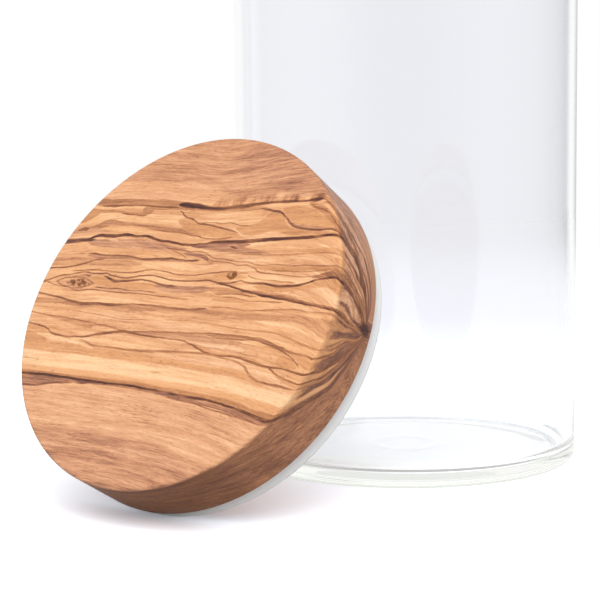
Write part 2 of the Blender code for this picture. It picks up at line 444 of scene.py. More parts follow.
UPPER_BANDS = (
    (0.39, 0.8, 0.4, 0.5, (-38, 16.9, GONE), (-36, 16.9, 0.3), (-33, 16.9, 0.9), (-26, 16.9, 1.2),
     (-18, 16.9, 1.2), (-12, 16.7, 1), (-8, 16.3, 0.5), (-3, 16.1, 0.1), (0, 16.1, GONE)),
    (0.16, 0.6, 0.2, 0.2, (-31, 18, GONE), (-29, 17.9, 0.2), (-27, 17.7, 0.25), (-25.4, 17.4, GONE)),
    (0.58, 0.9, 0.4, 0.35, (-2, 16.9, GONE), (1, 16.9, 0.3), (4, 17.1, 0.55), (7, 17.2, 0.65),
     (10, 17.4, 0.6), (13, 17.3, 0.6), (16, 17.6, 0.4), (20, 18.2, GONE)),
    (0.42, 0.75, 0.5, 0.4, (1, 16.2, GONE), (5, 16.3, 0.2), (10, 16.3, 0.5), (15, 16.2, 0.7),
     (19, 15.9, 0.5), (24, 15.5, 0.2), (28, 15.4, GONE)),
    (0.24, 0.1, 0.5, 0.5, (-50, 15, 0.5), (-36, 14.9, 0.5), (-20, 14.6, 0.4), (-10, 14.7, 0.2),
     (-6, 14.6, GONE)),
    (0.42, 0.6, 0.2, 0.4, (-37, 13.1, GONE), (-33, 13.1, 0.45), (-30, 12.9, 0.5), (-26, 12.9, 0.4),
     (-20, 12.8, 0.3), (-15, 12.4, 0.15), (-9, 12.7, 0.3), (-5, 12.8, 0.35), (-1, 12.6, 0.25),
     (3, 12.8, GONE)),
    (0.39, 0.35, 0.6, 0.5, (-50, 10.4, 1), (-42, 11.2, 1), (-36, 11.3, 0.8), (-30, 11.1, 0.7),
     (-24, 11.1, 0.6), (-18, 11.1, 0.4), (-13, 11, GONE)),
    (0.54, 0.9, 0.3, 0.4, (-3, 14.9, GONE), (-1, 14.7, 0.25), (1.5, 14.5, 0.35), (3.5, 14.2, 0.4),
     (5, 13.8, 0.3), (6.2, 13.1, 0.15), (7.4, 12.2, GONE)),
    (0.34, 0.1, 0.4, 0.3, (34, 16.6, GONE), (37, 16.7, 0.4), (42, 17.1, 0.6), (46, 16.6, 0.7),
     (50, 14.8, 0.8)),
    (0.38, 0.05, 0.25, 0.25, (20, 11.9, GONE), (22, 11.85, 0.3), (26, 11.75, 0.5), (34, 11.8, 0.5),
     (40, 12.1, 0.35), (46, 12.3, 0.3), (50, 10.8, 0.3)),
    (0.32, 0.05, 0.4, 0.4, (44, 15, GONE), (46, 14.4, 0.6), (50, 12.6, 0.9)),
    (0.56, 0.5, 0.4, 0.3, (38, 9, GONE), (41, 9.9, 0.2), (44, 10.6, 0.5), (47, 10.5, 0.6), (49, 9.3, 0.5),
     (51, 7, 0.5)),
    (0.31, 0.05, 0.4, 0.4, (9, 9, GONE), (12, 8.9, 0.5), (15, 8.6, 0.6), (19, 8.9, 0.3), (22, 8.4, GONE)),
    (0.34, 0, 0.4, 0.4, (21, 6.6, GONE), (26, 6.3, 0.4), (30, 6.1, 0.6), (34, 6.3, 0.5), (38, 6.9, 0.4),
     (42, 7.9, 0.6), (46, 8.1, 0.9), (49, 6.6, 1.2), (51, 4.5, 1.2)),
)
MIDDLE_BANDS = (
    (0.5, 0.9, 0.3, 0.3, (-40.5, 6, GONE), (-38, 6.2, 0.3), (-36, 6.4, 0.55), (-34, 6.7, 0.6),
     (-32, 7, 0.4), (-30.5, 7.2, GONE)),
    (0.36, 0, 0.5, 0.4, (-32, 6.4, GONE), (-30.5, 6.1, 0.5), (-28, 5.8, 1), (-25, 5.4, 0.7),
     (-22, 4.9, 0.4), (-16, 4.9, 0.5), (-9, 4.9, 0.5), (-4, 4.8, GONE)),
    (0.42, 0.8, 0.4, 0.4, (-9, 5.2, GONE), (-6, 5, 0.7), (-1, 4.6, 0.9), (4, 4.7, 0.8), (9, 5, 0.5),
     (12, 5.2, GONE)),
    (0.32, 0.5, 0.3, 0.3, (-31, 3.3, GONE), (-27, 3.3, 0.2), (-20, 3.2, 0.2), (-12, 3.1, 0.2),
     (-4, 2.9, GONE)),
    (0.38, 0.3, 0.4, 0.25, (8, 4.9, GONE), (11, 5, 0.4), (16, 4.9, 0.5), (20, 4.7, 0.3), (25, 4.8, 0.3),
     (30, 4.6, 0.3), (36, 4.1, 0.2), (40, 3.6, GONE)),
    (0.33, 0.2, 0.4, 0.3, (11, 2.4, GONE), (14, 2.6, 0.4), (20, 2.5, 0.4), (24, 2.3, GONE)),
    (0.39, 0.35, 0.4, 0.3, (-50, -0.9, 0.6), (-44, -0.9, 0.5), (-38, -1, 0.4), (-33, -1.3, 0.45),
     (-27, -1.4, 0.5), (-20, -1.6, 0.7), (-14, -1.7, 0.8), (-8, -1.3, 0.5), (0, -1.1, 0.4), (6, -1.1, 0.4),
     (12, -1.2, 0.5), (18, -1.5, 0.65), (25, -1.7, 0.7), (30, -1.6, 0.6), (36, -1.4, 0.6), (40, -1.5, 0.8),
     (44, -2.3, 1.4), (47, -3, 1.9), (51, -3.8, 2.4)),
    (0.31, 0.1, 0.3, 0.3, (24, 0.2, GONE), (30, 0.5, 0.25), (36, 0.7, 0.3), (44, 0.5, 0.2),
     (51, 0.2, 0.2)),
    (0.37, 0.3, 0.3, 0.3, (-44, -5.1, GONE), (-40, -5.4, 0.15), (-35, -6, 0.45), (-30, -6.6, 0.65),
     (-27, -6.9, 0.75), (-25, -7.1, 0.7), (-24, -7.1, GONE)),
    (0.33, 0.1, 0.4, 0.4, (-50, -8.3, 0.3), (-45, -8.8, 0.4), (-41, -9.6, 0.3), (-37, -10.2, GONE)),
    (0.36, 0.05, 0.5, 0.5, (-52, -11.6, 1.8), (-46, -11.8, 1.5), (-42, -12.1, 1), (-39.5, -12.3, 0.6),
     (-38, -12.4, GONE)),
    (0.08, 0.2, 0.2, 0.3, (-40, -11.7, GONE), (-38, -11.7, 0.25), (-32, -11.7, 0.3), (-27, -12.3, 0.3),
     (-22, -13.2, 0.1), (-20, -13.3, GONE)),
    (0.37, 0.5, 0.3, 0.4, (-14, -8.4, GONE), (-10, -8.3, 0.2), (-4, -8.2, 0.5), (2, -8.1, 0.6),
     (8, -8.2, 0.8), (14, -8.4, 0.8), (20, -8.5, 0.6), (25, -8.6, 0.2), (27, -8.6, GONE)),
    (0.43, 0.3, 0.2, 0.2, (12, -7.2, GONE), (16, -7.2, 0.25), (24, -7.3, 0.3), (30, -7.4, 0.2),
     (33, -8, 0.25), (36, -8.8, 0.3), (38.5, -9.6, 0.1), (40, -10.2, GONE)),
    (0.34, 0, 0.2, 0.2, (37, -12.4, GONE), (37.8, -12.4, 0.9), (39, -12.3, 1.3), (41, -12.7, 1.2),
     (43, -13.3, 0.5), (44, -13.7, GONE)),
    (0.34, 0.1, 0.3, 0.3, (9, -9.7, GONE), (12, -10.3, 0.4), (15, -11.1, 0.4), (18, -11.7, 0.2),
     (22, -11.8, 0.15), (27, -12.1, 0.15), (32, -13.2, 0.2), (37, -13.7, GONE)),
    (0.34, 0.2, 0.3, 0.4, (36, -14.9, GONE), (39, -16.1, 0.3), (42, -17.2, 0.5), (46, -18.2, 0.5),
     (50, -19.2, 0.5)),
    (0.31, 0, 0.3, 0.3, (42, -10.4, GONE), (44, -11.4, 0.5), (46, -12.6, 0.9), (50, -14, 1.2)),
    (0.47, 0.1, 0.6, 0.3, (-50, -21.5, 0.25), (-40, -21.5, 0.2), (-30, -21.6, 0.2), (-20, -21.7, 0.25),
     (-10, -21.7, 0.25), (0, -21.9, 0.3), (6, -22.4, 0.35), (14, -22.8, 0.4), (20, -23.2, 0.4),
     (26, -23.6, 0.4), (31, -24.5, 0.4), (36, -25.6, 0.4), (41, -26.3, 0.4), (50, -28, 0.4)),
    (0.55, 0.8, 0.3, 0.4, (-52, -23.8, 1), (-42, -23.6, 1.1), (-38, -23.5, 1), (-34, -23.2, 0.7),
     (-30, -22.9, 0.5), (-26, -22.8, 0.45), (-22, -22.8, 0.35), (-18, -22.8, 0.1), (-14, -22.9, 0.05),
     (-6, -22.9, 0), (-2, -23, 0.05), (4, -23.2, 0.2), (8, -23.5, 0.2), (14, -24.1, 0.2), (20, -24.7, 0.3),
     (28, -25.8, 0.4), (36, -27.3, 0.4), (42, -28.2, 0.4), (50, -30, 0.4)),
)
LINES = (
    (0.6, 0.3, 0.3, 0.2, (-40, 28.1, GONE), (-36, 28.1, 0.05), (-28, 28.2, 0.08), (-20, 28.4, 0.1),
     (-16, 28.1, 0.08), (-10, 28, 0.08), (-7, 27.9, GONE)),
    (0.56, 0.3, 0.2, 0.2, (-31, 26.3, GONE), (-28, 25.9, 0.06), (-24, 25.6, 0.1), (-20, 25.6, 0.08),
     (-18, 26.2, GONE)),
    (0.72, 0.5, 0.4, 0.4, (-43.5, 20.4, GONE), (-42, 20.5, 0.05), (-40.3, 20.9, 0.35), (-39.2, 20.9, 0.3),
     (-38, 20.9, GONE)),
    (0.6, 0.4, 0.25, 0.25, (-9, 27.3, GONE), (-7.8, 26.6, 0.1), (-6.6, 25.6, 0.15), (-5, 25, 0.12),
     (-3, 24.6, 0.1), (-1, 23.5, 0.12), (1.5, 23.3, 0.12), (4, 22.9, 0.1), (8, 22.1, 0.12), (12, 21.3, 0.1),
     (14.4, 20.6, GONE)),
    (0.46, 0.3, 0.15, 0.2, (-2, 24.2, GONE), (0, 23.9, 0.06), (4, 23.8, 0.08), (7, 23.6, 0.08),
     (10, 23.8, 0.08), (12, 23.3, 0.06), (16, 23, 0.05), (21, 22.9, GONE)),
    (0.5, 0.3, 0.2, 0.2, (-16, 21, GONE), (-12, 20.9, 0.06), (-6, 20.7, 0.08), (-3, 20.1, 0.1),
     (0, 19.8, 0.1), (3, 19.3, 0.08), (6, 19.2, 0.08), (11, 19.6, 0.08), (14, 20.2, GONE)),
    (0.62, 0.6, 0.35, 0.25, (15, 27.9, GONE), (19, 27.9, 0.04), (22, 27.4, 0.08), (24.3, 27.1, 0.18),
     (25.5, 26.3, 0.22), (27, 25.2, 0.2), (28, 24.3, 0.22), (29, 23.6, 0.2), (30.5, 23, 0.18),
     (33, 22.7, 0.15), (36, 22.4, 0.1), (38, 22.4, 0.08), (40, 22.7, 0.1), (42, 22.6, 0.12),
     (43.5, 22, 0.15), (45, 20.6, 0.2), (48, 17.2, 0.25)),
    (0.56, 0.3, 0.3, 0.3, (32, 29.8, GONE), (33.5, 29, 0.12), (36, 28.3, 0.12), (38.5, 27.6, 0.1),
     (41, 25.2, 0.1), (43.5, 22.8, 0.1), (47, 18.4, 0.1)),
    (0.52, 0.4, 0.3, 0.3, (35, 31.4, GONE), (37.5, 30.3, 0.1), (40, 28.2, 0.12), (42.5, 25.4, 0.12),
     (45, 22.2, 0.12), (48, 17.8, 0.1)),
    (0.7, 0.7, 0.5, 0.6, (-51, 16.5, 0.5), (-46, 16.9, 0.55), (-42, 17.2, 0.5), (-39, 17.6, 0.4),
     (-36, 17.8, 0.1), (-33, 17.8, GONE)),
    (0.86, 0.55, 0.25, 0.35, (-38.8, 17.9, GONE), (-36.8, 18.2, 0.15), (-35, 18.9, 0.32), (-33, 19.2, 0.4),
     (-30, 19.1, 0.42), (-27, 19.2, 0.42), (-25, 19.5, 0.4), (-23, 19.5, 0.36), (-20.5, 19.2, 0.16),
     (-17, 19.35, 0.2), (-15, 19, 0.2), (-13, 18.5, 0.22), (-11, 18.2, 0.22), (-9, 18.1, 0.18),
     (-6, 17.7, 0.16), (-3, 17.4, 0.18), (0, 17.4, 0.16), (2, 17.7, 0.1), (4, 17.8, 0.1), (5.5, 18.2, 0.22),
     (8, 18.4, 0.32), (12, 18.5, 0.32), (16, 18.7, 0.38), (20, 19.1, 0.46), (24, 19.5, 0.44),
     (28, 19.8, 0.4), (33, 20.2, 0.34), (38, 20.7, 0.28), (42, 21.2, 0.22), (44, 21, 0.25), (46, 19.7, 0.3),
     (48, 17.5, 0.3), (51, 13.5, 0.3)),
    (0.78, 0.5, 0.2, 0.2, (11, 17.3, GONE), (12.5, 17.1, 0.08), (14, 16.8, 0.14), (15.2, 16.5, GONE)),
    (0.6, 0.45, 0.15, 0.4, (-37, 13.5, GONE), (-34, 13.8, 0.06), (-30, 13.5, 0.05), (-25, 13.5, 0.04),
     (-20, 13.3, 0.06), (-17, 12.9, 0.1), (-14.5, 12.7, 0.2), (-11, 13, 0.18), (-8, 13.1, 0.2),
     (-5.5, 13.3, 0.2), (-3.5, 13, 0.12), (-1, 12.8, 0.1), (3, 13, 0.08), (5, 13.4, GONE)),
    (0.5, 0.5, 0.15, 0.25, (-10.8, 17.2, GONE), (-9.6, 16.7, 0.1), (-8.2, 16.2, 0.14), (-6, 16, 0.12),
     (-3, 15.7, 0.1), (0, 15.3, 0.1), (2, 15.4, 0.1), (4, 15.2, 0.12), (5.5, 14.8, 0.1), (7, 14.2, 0.08),
     (8.5, 13.7, 0.08), (11, 13.7, 0.08), (14, 13.3, 0.08), (17, 13.1, 0.08), (20, 13, 0.1),
     (21.5, 12.6, 0.1), (24, 12.4, 0.08), (28, 12.7, 0.06), (33, 12.6, 0.08), (38, 12.9, 0.08),
     (44, 12.9, 0.1), (46, 13, 0.12), (48, 12.4, 0.12), (51, 10.8, 0.12)),
    (0.46, 0.5, 0.2, 0.2, (-9.5, 15.5, GONE), (-6, 15.3, 0.05), (-4, 14.9, 0.1), (-2.5, 14.3, 0.1),
     (-1.2, 13.6, 0.06), (0, 13.4, GONE)),
    (0.5, 0.4, 0.15, 0.25, (4, 14.7, GONE), (5, 14.4, 0.06), (6.5, 13.4, 0.1), (8.5, 12.8, 0.08),
     (11, 12.8, 0.05), (14, 12.6, 0.06), (16, 12.2, 0.08), (19.5, 12.1, 0.1), (22, 11.4, 0.12),
     (23.5, 10.6, 0.12), (25.5, 10.3, 0.1), (30, 10.1, 0.08), (35, 9.8, 0.08), (38, 9.8, 0.08),
     (41, 10.3, 0.1), (44, 11.2, 0.1), (46, 11.8, 0.12), (48, 11, 0.15), (51, 8.4, 0.15)),
    (0.44, 0.1, 0.1, 0.25, (23, 11.1, GONE), (28, 11.1, 0.05), (36, 11.1, 0.06), (39, 11.3, 0.05),
     (43, 11.9, 0.06), (46, 12.1, 0.06), (50, 10.2, 0.06)),
    (0.42, 0.2, 0.15, 0.2, (12, 15.3, GONE), (15, 15.3, 0.05), (22, 15.2, 0.06), (28, 15.3, 0.08),
     (33, 15.6, 0.08), (35, 16, 0.1), (38, 16.2, 0.08), (42, 16.5, 0.06), (46, 15.8, 0.08),
     (50, 13.2, 0.08)),
    (0.4, 0.2, 0.15, 0.2, (16.5, 17.1, GONE), (19, 16.6, 0.06), (22, 16.2, 0.08), (24, 15.8, 0.05),
     (26, 15.5, GONE)),
    (0.58, 0.4, 0.3, 0.2, (-51, 8.5, 0.08), (-45, 8.9, 0.1), (-42, 9.2, 0.12), (-38, 9.9, 0.12),
     (-35, 10.7, 0.15), (-32.5, 11.6, 0.15), (-30, 12, 0.08), (-27, 12.2, GONE)),
    (0.52, 0.4, 0.15, 0.35, (-43, 8.4, GONE), (-38, 8.4, 0.04), (-33, 8.8, 0.1), (-30, 9, 0.2),
     (-27, 8.8, 0.1), (-22, 8.6, 0.06), (-18, 8.6, 0.12), (-15, 9.1, 0.1), (-12, 9.7, 0.08),
     (-9, 9.7, 0.08), (-6, 9.4, 0.06), (-3, 8.9, 0.05), (2, 8.7, 0.05), (7, 9.2, 0.06), (11, 9.9, 0.08),
     (13.5, 10.2, 0.08), (16, 10.2, 0.05), (18, 9.9, GONE)),
    (0.6, 0.5, 0.2, 0.25, (-49.5, 4.7, 0.2), (-47.5, 4.9, 0.35), (-46, 5.4, 0.2), (-44, 6.2, 0.12),
     (-42, 6.8, 0.16), (-40, 7, 0.14), (-37, 7.6, 0.08), (-34, 8.1, 0.1), (-31, 7.9, 0.1), (-28, 7.9, 0.14),
     (-26, 8, 0.14), (-24.7, 7.6, 0.14), (-22, 7.3, 0.12), (-19, 7, 0.14), (-16.5, 7.3, 0.14),
     (-13, 7.9, 0.1), (-10, 8.1, 0.1), (-7, 7.7, 0.08), (-4, 7.2, 0.06), (0, 7, 0.06), (5, 7.2, 0.08),
     (9, 7.5, 0.08), (12, 7, 0.12), (15, 7, 0.1), (17, 7.3, 0.1), (19, 7.9, 0.1), (20.5, 7.5, 0.14),
     (23, 7.3, 0.14), (27, 7.4, 0.14), (29, 7.1, GONE)),
    (0.72, 0.55, 0.2, 0.3, (24, 7.4, GONE), (27, 7.4, 0.05), (29, 7.1, 0.18), (32, 7, 0.2),
     (35, 7.2, 0.22), (37, 7.6, 0.2), (39, 8.2, 0.18), (41, 9, 0.24), (44, 9.6, 0.24), (46.5, 9.9, 0.26),
     (48, 9.3, 0.28), (49.5, 8, 0.3), (51, 6, 0.3)),
    (0.66, 0.65, 0.4, 0.2, (-28.5, 7.4, GONE), (-26, 7, 0.1), (-24.5, 6.5, 0.18), (-22.5, 5.9, 0.28),
     (-20, 5.95, 0.2), (-17, 6.2, 0.14), (-13, 6.6, 0.1), (-10, 6.3, 0.1), (-6, 5.6, 0.1), (-2, 5.3, 0.05),
     (2, 5.4, GONE)),
    (0.42, 0.1, 0.15, 0.2, (19.5, 10, GONE), (20.8, 9.3, 0.07), (22, 8.9, 0.07), (24, 8.5, 0.07),
     (27, 8.4, 0.06), (31, 8.2, 0.06), (35, 8, 0.05), (38, 8, GONE)),
    (0.46, 0.1, 0.15, 0.2, (16.5, 9.9, GONE), (18, 10, 0.08), (20, 10.1, 0.08), (21.5, 9.8, GONE)),
    (0.72, 0.5, 0.45, 0.2, (10, 6.6, GONE), (13, 6.6, 0.05), (16, 6.2, 0.06), (19, 5.6, 0.1),
     (21, 5.1, 0.14), (24, 4.7, 0.12), (26, 4.3, 0.22), (29, 4.1, 0.26), (31, 3.8, 0.2), (34, 3.5, 0.18),
     (38, 3, 0.18), (41, 2.6, 0.18), (44, 2.3, 0.22), (47, 1.9, 0.26), (51, 1.3, 0.3)),
    (0.48, 0.3, 0.2, 0.3, (26, 4.9, GONE), (31, 4.4, 0.08), (35, 4, 0.1), (39, 3.4, 0.1), (43, 2.8, 0.1),
     (47, 2.4, 0.1), (51, 1.8, 0.1)),
    (0.5, 0.4, 0.2, 0.2, (10, 4.3, GONE), (13, 4, 0.06), (16, 4.1, 0.06), (20, 4.1, 0.1), (24, 3.8, 0.1),
     (28, 3.8, GONE)),
    (0.42, 0.2, 0.15, 0.2, (12, 2.9, GONE), (16, 3.3, 0.05), (20, 3.1, 0.05), (23, 2.6, 0.08),
     (28, 2.7, 0.08), (33, 2.7, 0.06), (38, 2.6, GONE)),
    (0.58, 0.5, 0.15, 0.2, (-32, 3.3, GONE), (-28, 3.8, 0.05), (-25, 3.7, 0.1), (-23, 3.6, 0.2),
     (-20, 3.8, 0.1), (-16.5, 3.5, 0.1), (-12, 3.6, 0.08), (-8, 3.4, 0.08), (-2, 3.1, GONE)),
    (0.52, 0.4, 0.15, 0.25, (-43.8, 4.6, GONE), (-42.5, 4.2, 0.1), (-40.5, 3.8, 0.12), (-38, 3.4, 0.12),
     (-36, 2.9, 0.12), (-34.3, 2.6, 0.14), (-32, 2.9, 0.14), (-28, 3.1, 0.12), (-25, 2.9, 0.12),
     (-22, 2.7, 0.14), (-18, 2.8, 0.14), (-13, 2.8, 0.1), (-8, 2.6, 0.08), (-2, 2.3, 0.06), (4, 2.1, 0.05),
     (9, 2.4, GONE)),
    (0.46, 0.3, 0.15, 0.2, (-48, 4.9, GONE), (-46.5, 4.7, 0.15), (-45, 4.2, 0.08), (-43, 3.9, 0.06),
     (-40, 3.5, GONE)),
    (0.6, 0.45, 0.2, 0.5, (-51, 1.6, 0.05), (-46, 1.1, 0.06), (-42, 0.6, 0.1), (-39, 0.2, 0.1),
     (-37, -0.2, 0.12), (-34, -0.6, 0.16), (-31, -0.9, 0.22), (-28, -0.8, 0.26), (-25.5, -0.6, 0.16),
     (-22, -0.8, 0.25), (-19, -0.7, 0.18), (-16, -0.5, 0.12), (-10, -0.2, 0.08), (-4, -0.3, 0.08),
     (2, -0.6, 0.08), (6, -0.6, 0.08), (10, -0.2, 0.05), (14, 0.1, GONE)),
    (0.42, 0.2, 0.2, 0.3, (8, 0, GONE), (13, 0.3, 0.05), (17, 0.5, 0.06), (20, 0.2, 0.05), (24, 0, 0.05),
     (27, 0.2, 0.06), (31, 0.7, 0.08), (35, 1, 0.08), (38, 1.1, 0.08), (42, 0.7, 0.06), (46, 0.7, 0.08),
     (51, 0.3, 0.1)),
    (0.38, 0.1, 0.15, 0.2, (-50, -2.6, 0.03), (-40, -2.8, 0.04), (-34, -3.2, 0.05), (-30, -3.4, 0.05),
     (-25, -3.8, 0.05), (-20, -4.3, 0.05), (-15, -4.6, 0.05), (-8, -4.4, 0.04), (2, -3.9, 0.04),
     (10, -4, 0.05), (16, -4.2, 0.08), (20, -4.6, 0.1), (25, -5, 0.1), (30, -5.1, 0.08), (34, -5.3, 0.1),
     (37, -5.9, 0.18), (40, -6.7, 0.28), (43, -7.6, 0.28), (47, -8.5, 0.26), (51, -9.4, 0.26)),
    (0.5, 0.25, 0.15, 0.35, (-51, -4.2, 0.05), (-47, -4.4, 0.07), (-43, -4.8, 0.07), (-40, -5.1, 0.05),
     (-36, -5.3, 0.05), (-30, -5.7, 0.07), (-26, -6.2, 0.1), (-23, -6.6, 0.14), (-20, -6.8, 0.14),
     (-17, -7.2, 0.14), (-14, -7.7, 0.18), (-11, -7.9, 0.14), (-6, -7.6, 0.08), (0, -7.3, 0.08),
     (6, -7.1, 0.08), (12, -6.9, 0.08), (16, -6.6, 0.08), (20, -6.7, 0.1), (25, -6.8, 0.14), (28, -7, 0.14),
     (31, -7, 0.14), (33, -7.5, 0.16), (35, -8.2, 0.22), (38, -9, 0.22), (40, -9.6, 0.16),
     (44, -10.2, 0.16), (51, -11.6, 0.16)),
    (0.54, 0.4, 0.15, 0.2, (14, -7.7, GONE), (18, -7.8, 0.06), (24, -7.8, 0.08), (29, -7.6, 0.08),
     (31, -7.8, 0.1), (34, -8.5, 0.16), (36.5, -9.1, 0.2), (39, -10, 0.14), (41, -11, 0.1),
     (43, -12.2, 0.1), (44.3, -13.4, 0.08), (44.8, -14.3, GONE)),
    (0.58, 0.35, 0.3, 0.2, (-51, -7.2, 0.08), (-46, -7.8, 0.1), (-43, -8.2, 0.1), (-40, -8.9, 0.12),
     (-38.5, -9.8, 0.18), (-37, -10.3, 0.18), (-34, -10.7, 0.14), (-31.5, -10.9, 0.14), (-29, -10.7, 0.1),
     (-26, -10.4, 0.12), (-24, -10, 0.2), (-22, -9.5, 0.28), (-19, -8.9, 0.35), (-16, -8.4, 0.3),
     (-13, -8.1, 0.2), (-9, -8.4, 0.12), (-4, -8.8, 0.1), (2, -9, 0.1), (7, -9.2, 0.1), (10, -9.9, 0.12),
     (12.5, -10.8, 0.14), (15, -11.6, 0.14), (18, -12.1, 0.1), (21, -12.2, 0.08), (24, -12.1, 0.1),
     (27, -12.5, 0.18), (30, -13.2, 0.18), (33, -13.8, 0.14), (36, -14.1, 0.14), (39, -14.1, 0.1),
     (42, -14.5, 0.14), (45, -15, 0.24), (51, -15.6, 0.3)),
    (0.34, 0.1, 0.15, 0.25, (-43, -8, GONE), (-38, -8.6, 0.04), (-34, -9.3, 0.08), (-30, -9.5, 0.06),
     (-25, -9.2, GONE)),
    (0.46, 0.25, 0.2, 0.35, (-30, -10.8, GONE), (-26, -11.3, 0.08), (-24, -11.9, 0.16), (-22, -12.4, 0.16),
     (-18, -12.6, 0.14), (-12, -12.7, 0.2), (-8, -12.8, 0.2), (-2, -12.7, 0.22), (3, -12.3, 0.2),
     (8, -12.2, 0.2), (12, -12.1, 0.16), (17, -12.1, 0.06), (20, -12.5, 0.06), (24, -13, 0.12),
     (26, -13.4, 0.16), (28, -14.2, 0.2), (29.5, -15.2, 0.3), (31, -16.4, 0.35), (33, -17.4, 0.2),
     (36, -18, 0.16), (40, -18.4, 0.26), (44, -18.9, 0.16), (50, -19.6, 0.16)),
    (0.54, 0.3, 0.2, 0.3, (34.6, -13.9, GONE), (36.5, -14.6, 0.1), (38.5, -15.6, 0.1), (41, -16.4, 0.12),
     (44, -17.2, 0.12), (48, -18.4, 0.14), (51, -19.2, 0.14)),
    (0.88, 0.5, 0.2, 0.4, (-51, -22.1, 0.3), (-40, -21.95, 0.22), (-34, -21.85, 0.24), (-28, -22, 0.16),
     (-20, -22.2, 0.2), (-12, -22.3, 0.18), (-4, -22.3, 0.14), (1, -22.6, 0.14), (5, -22.8, 0.16),
     (8, -23.1, 0.14), (12, -23.3, 0.14), (16, -23.6, 0.2), (20, -23.7, 0.18), (24, -24.1, 0.16),
     (27, -24.6, 0.2), (30, -25.1, 0.2), (34, -25.9, 0.3), (37, -26.6, 0.34), (40, -27.2, 0.5),
     (43, -27.5, 0.6), (51, -29, 0.6)),
    (0.66, 0.6, 0.3, 0.3, (-48, -25.4, 0.1), (-41, -25.1, 0.18), (-38, -25, 0.18), (-35.5, -24.7, 0.18),
     (-33, -24.2, 0.18), (-30, -23.7, 0.12), (-26, -23.5, 0.06), (-20, -23.3, GONE)),
    (0.5, 0.6, 0.2, 0.3, (6, -24, GONE), (9, -24.2, 0.06), (14, -24.7, 0.1), (18, -25.1, 0.1),
     (22, -25.9, 0.12), (26, -26.4, 0.08), (30, -27, 0.1), (33, -27.5, 0.12), (37, -28.1, 0.12),
     (41, -28.5, 0.16), (51, -30.5, 0.2)),
)
HEART_LINE = (
    (0.97, 0.65, 0.35, 0.3, (-10, 28.6, GONE), (-9, 28.7, 0.3), (-7.5, 28.7, 0.7), (-5, 28.5, 0.65),
     (-2.5, 28.4, 0.6), (-1, 28.1, 0.42), (1, 27.95, 0.28), (4, 27.9, 0.3), (6, 28, 0.25), (8, 28.3, 0.15),
     (10, 28.5, 0.2), (13, 28.8, 0.3), (16, 29.2, 0.25), (19, 29.5, 0.1), (22, 29.9, 0.05), (25, 30.1, 0.2),
     (27.5, 30.3, 0.1), (29.5, 30.3, -0.1), (31, 30.4, 0), (32.5, 30.6, 0.15), (34, 30.7, 0.4),
     (35.2, 30.9, 0.2), (36.5, 31, GONE)),
)
SMOKE = (
    (0.66, 0.55, 0.8, 0.3, (1, 28.4, GONE), (4, 29, 0.3), (8, 29.4, 0.6), (11, 29.9, 0.7), (14, 30.2, 0.7),
     (18, 30.4, 0.7), (20.5, 30.6, 0.7), (22, 30.6, 0.2), (24, 30.7, 0.6), (27, 31, 0.5), (29, 30.9, 0.3),
     (31, 30.9, 0.3), (33.5, 31.2, 0.8), (35.5, 31.4, 0.4), (37, 31, GONE)),
)

# Small round marks: tone, pinkness, softness, middle (u, v) and half sizes
SPOTS = (
    (0.40, 0.80, 0.6, (22.3, 35.6), (0.5, 2.8)),
    (0.24, 0.30, 0.6, (22.6, 31.8), (1.1, 1.3)),
    (0.62, 0.50, 0.5, (-32.7, 6.9), (0.8, 0.35)),
    (0.62, 0.80, 0.7, (-20.6, -22.8), (1.3, 0.5)),
    (0.56, 0.95, 0.7, (6.6, -23.3), (2.2, 0.4)),
    (0.42, 0.20, 0.6, (-24.8, -6.9), (0.9, 0.7)),
)

EYE_KNOT = (-36.4, 4.9)
EYE_SIZE = (8.0, 2.3)
EYE_HEART = (-34.5, 4.85)
EYE_HEART_SIZE = (4.3, 1.15)
SMALL_KNOT = (15.6, 9.4)
SMALL_KNOT_SIZE = (1.20, 0.90)
SMALL_HALO_SIZE = (2.9, 1.4)
PITH = (15.95, 9.4)
PITH_SIZE = (0.42, 0.46)

# On the side wall the lines close in on a knot near the right-hand end
SIDE_KNOT_U = 48.9
SIDE_KNOT_V = 3.0
SIDE_KNOT_DEPTH = 14.4
SIDE_KNOT_SIZE = (3.5, 1.5, 2.2)             # half sizes along u, v and depth
FAN = 0.45                   # how much deeper the lines meet, for each millimetre above or below it
LEFT_DIP = -0.35             # how the lines lean with depth at the other end

# The run of the fibres, as (u, rise) along the face at two heights v
UPPER_RUN = ((-50, -1.5), (-30, 0.3), (-12, 0.1), (0, -0.9), (10, -0.3), (20, 0.9), (30, 1.8),
             (38, 2.4), (43, 1.2), (47, -1.8), (51, -5.5))
LOWER_RUN = ((-50, 0.0), (-20, 0.2), (0, -0.4), (10, -0.8), (20, -1.6), (30, -2.9), (40, -4.9),
             (50, -7.0))
UPPER_RUN_V = 30.0
LOWER_RUN_V = -25.0
RUN_REACH = 8.0              # the runs' curves hold rises from -RUN_REACH to RUN_REACH
BENT_V = -33.0               # above this the fibres on the right bend down the wall with the lines
CELL_HEIGHTS = (4.8, 7.0)    # between the dark lines that crowd towards the side knot
FIGURE_BOTTOM = -29.0        # v of the lower and the upper heart line where they cross the edge
FIGURE_TOP = 31.0
PAINTED_UNDERSIDE_SHADE = (26.0, 46.0)     # how far down the leaning wall the painted shade begins and is full
WOOD_RELIEF = 0.25
WOOD_SHINE = 0.25            # an oiled wood shines less than a varnished one

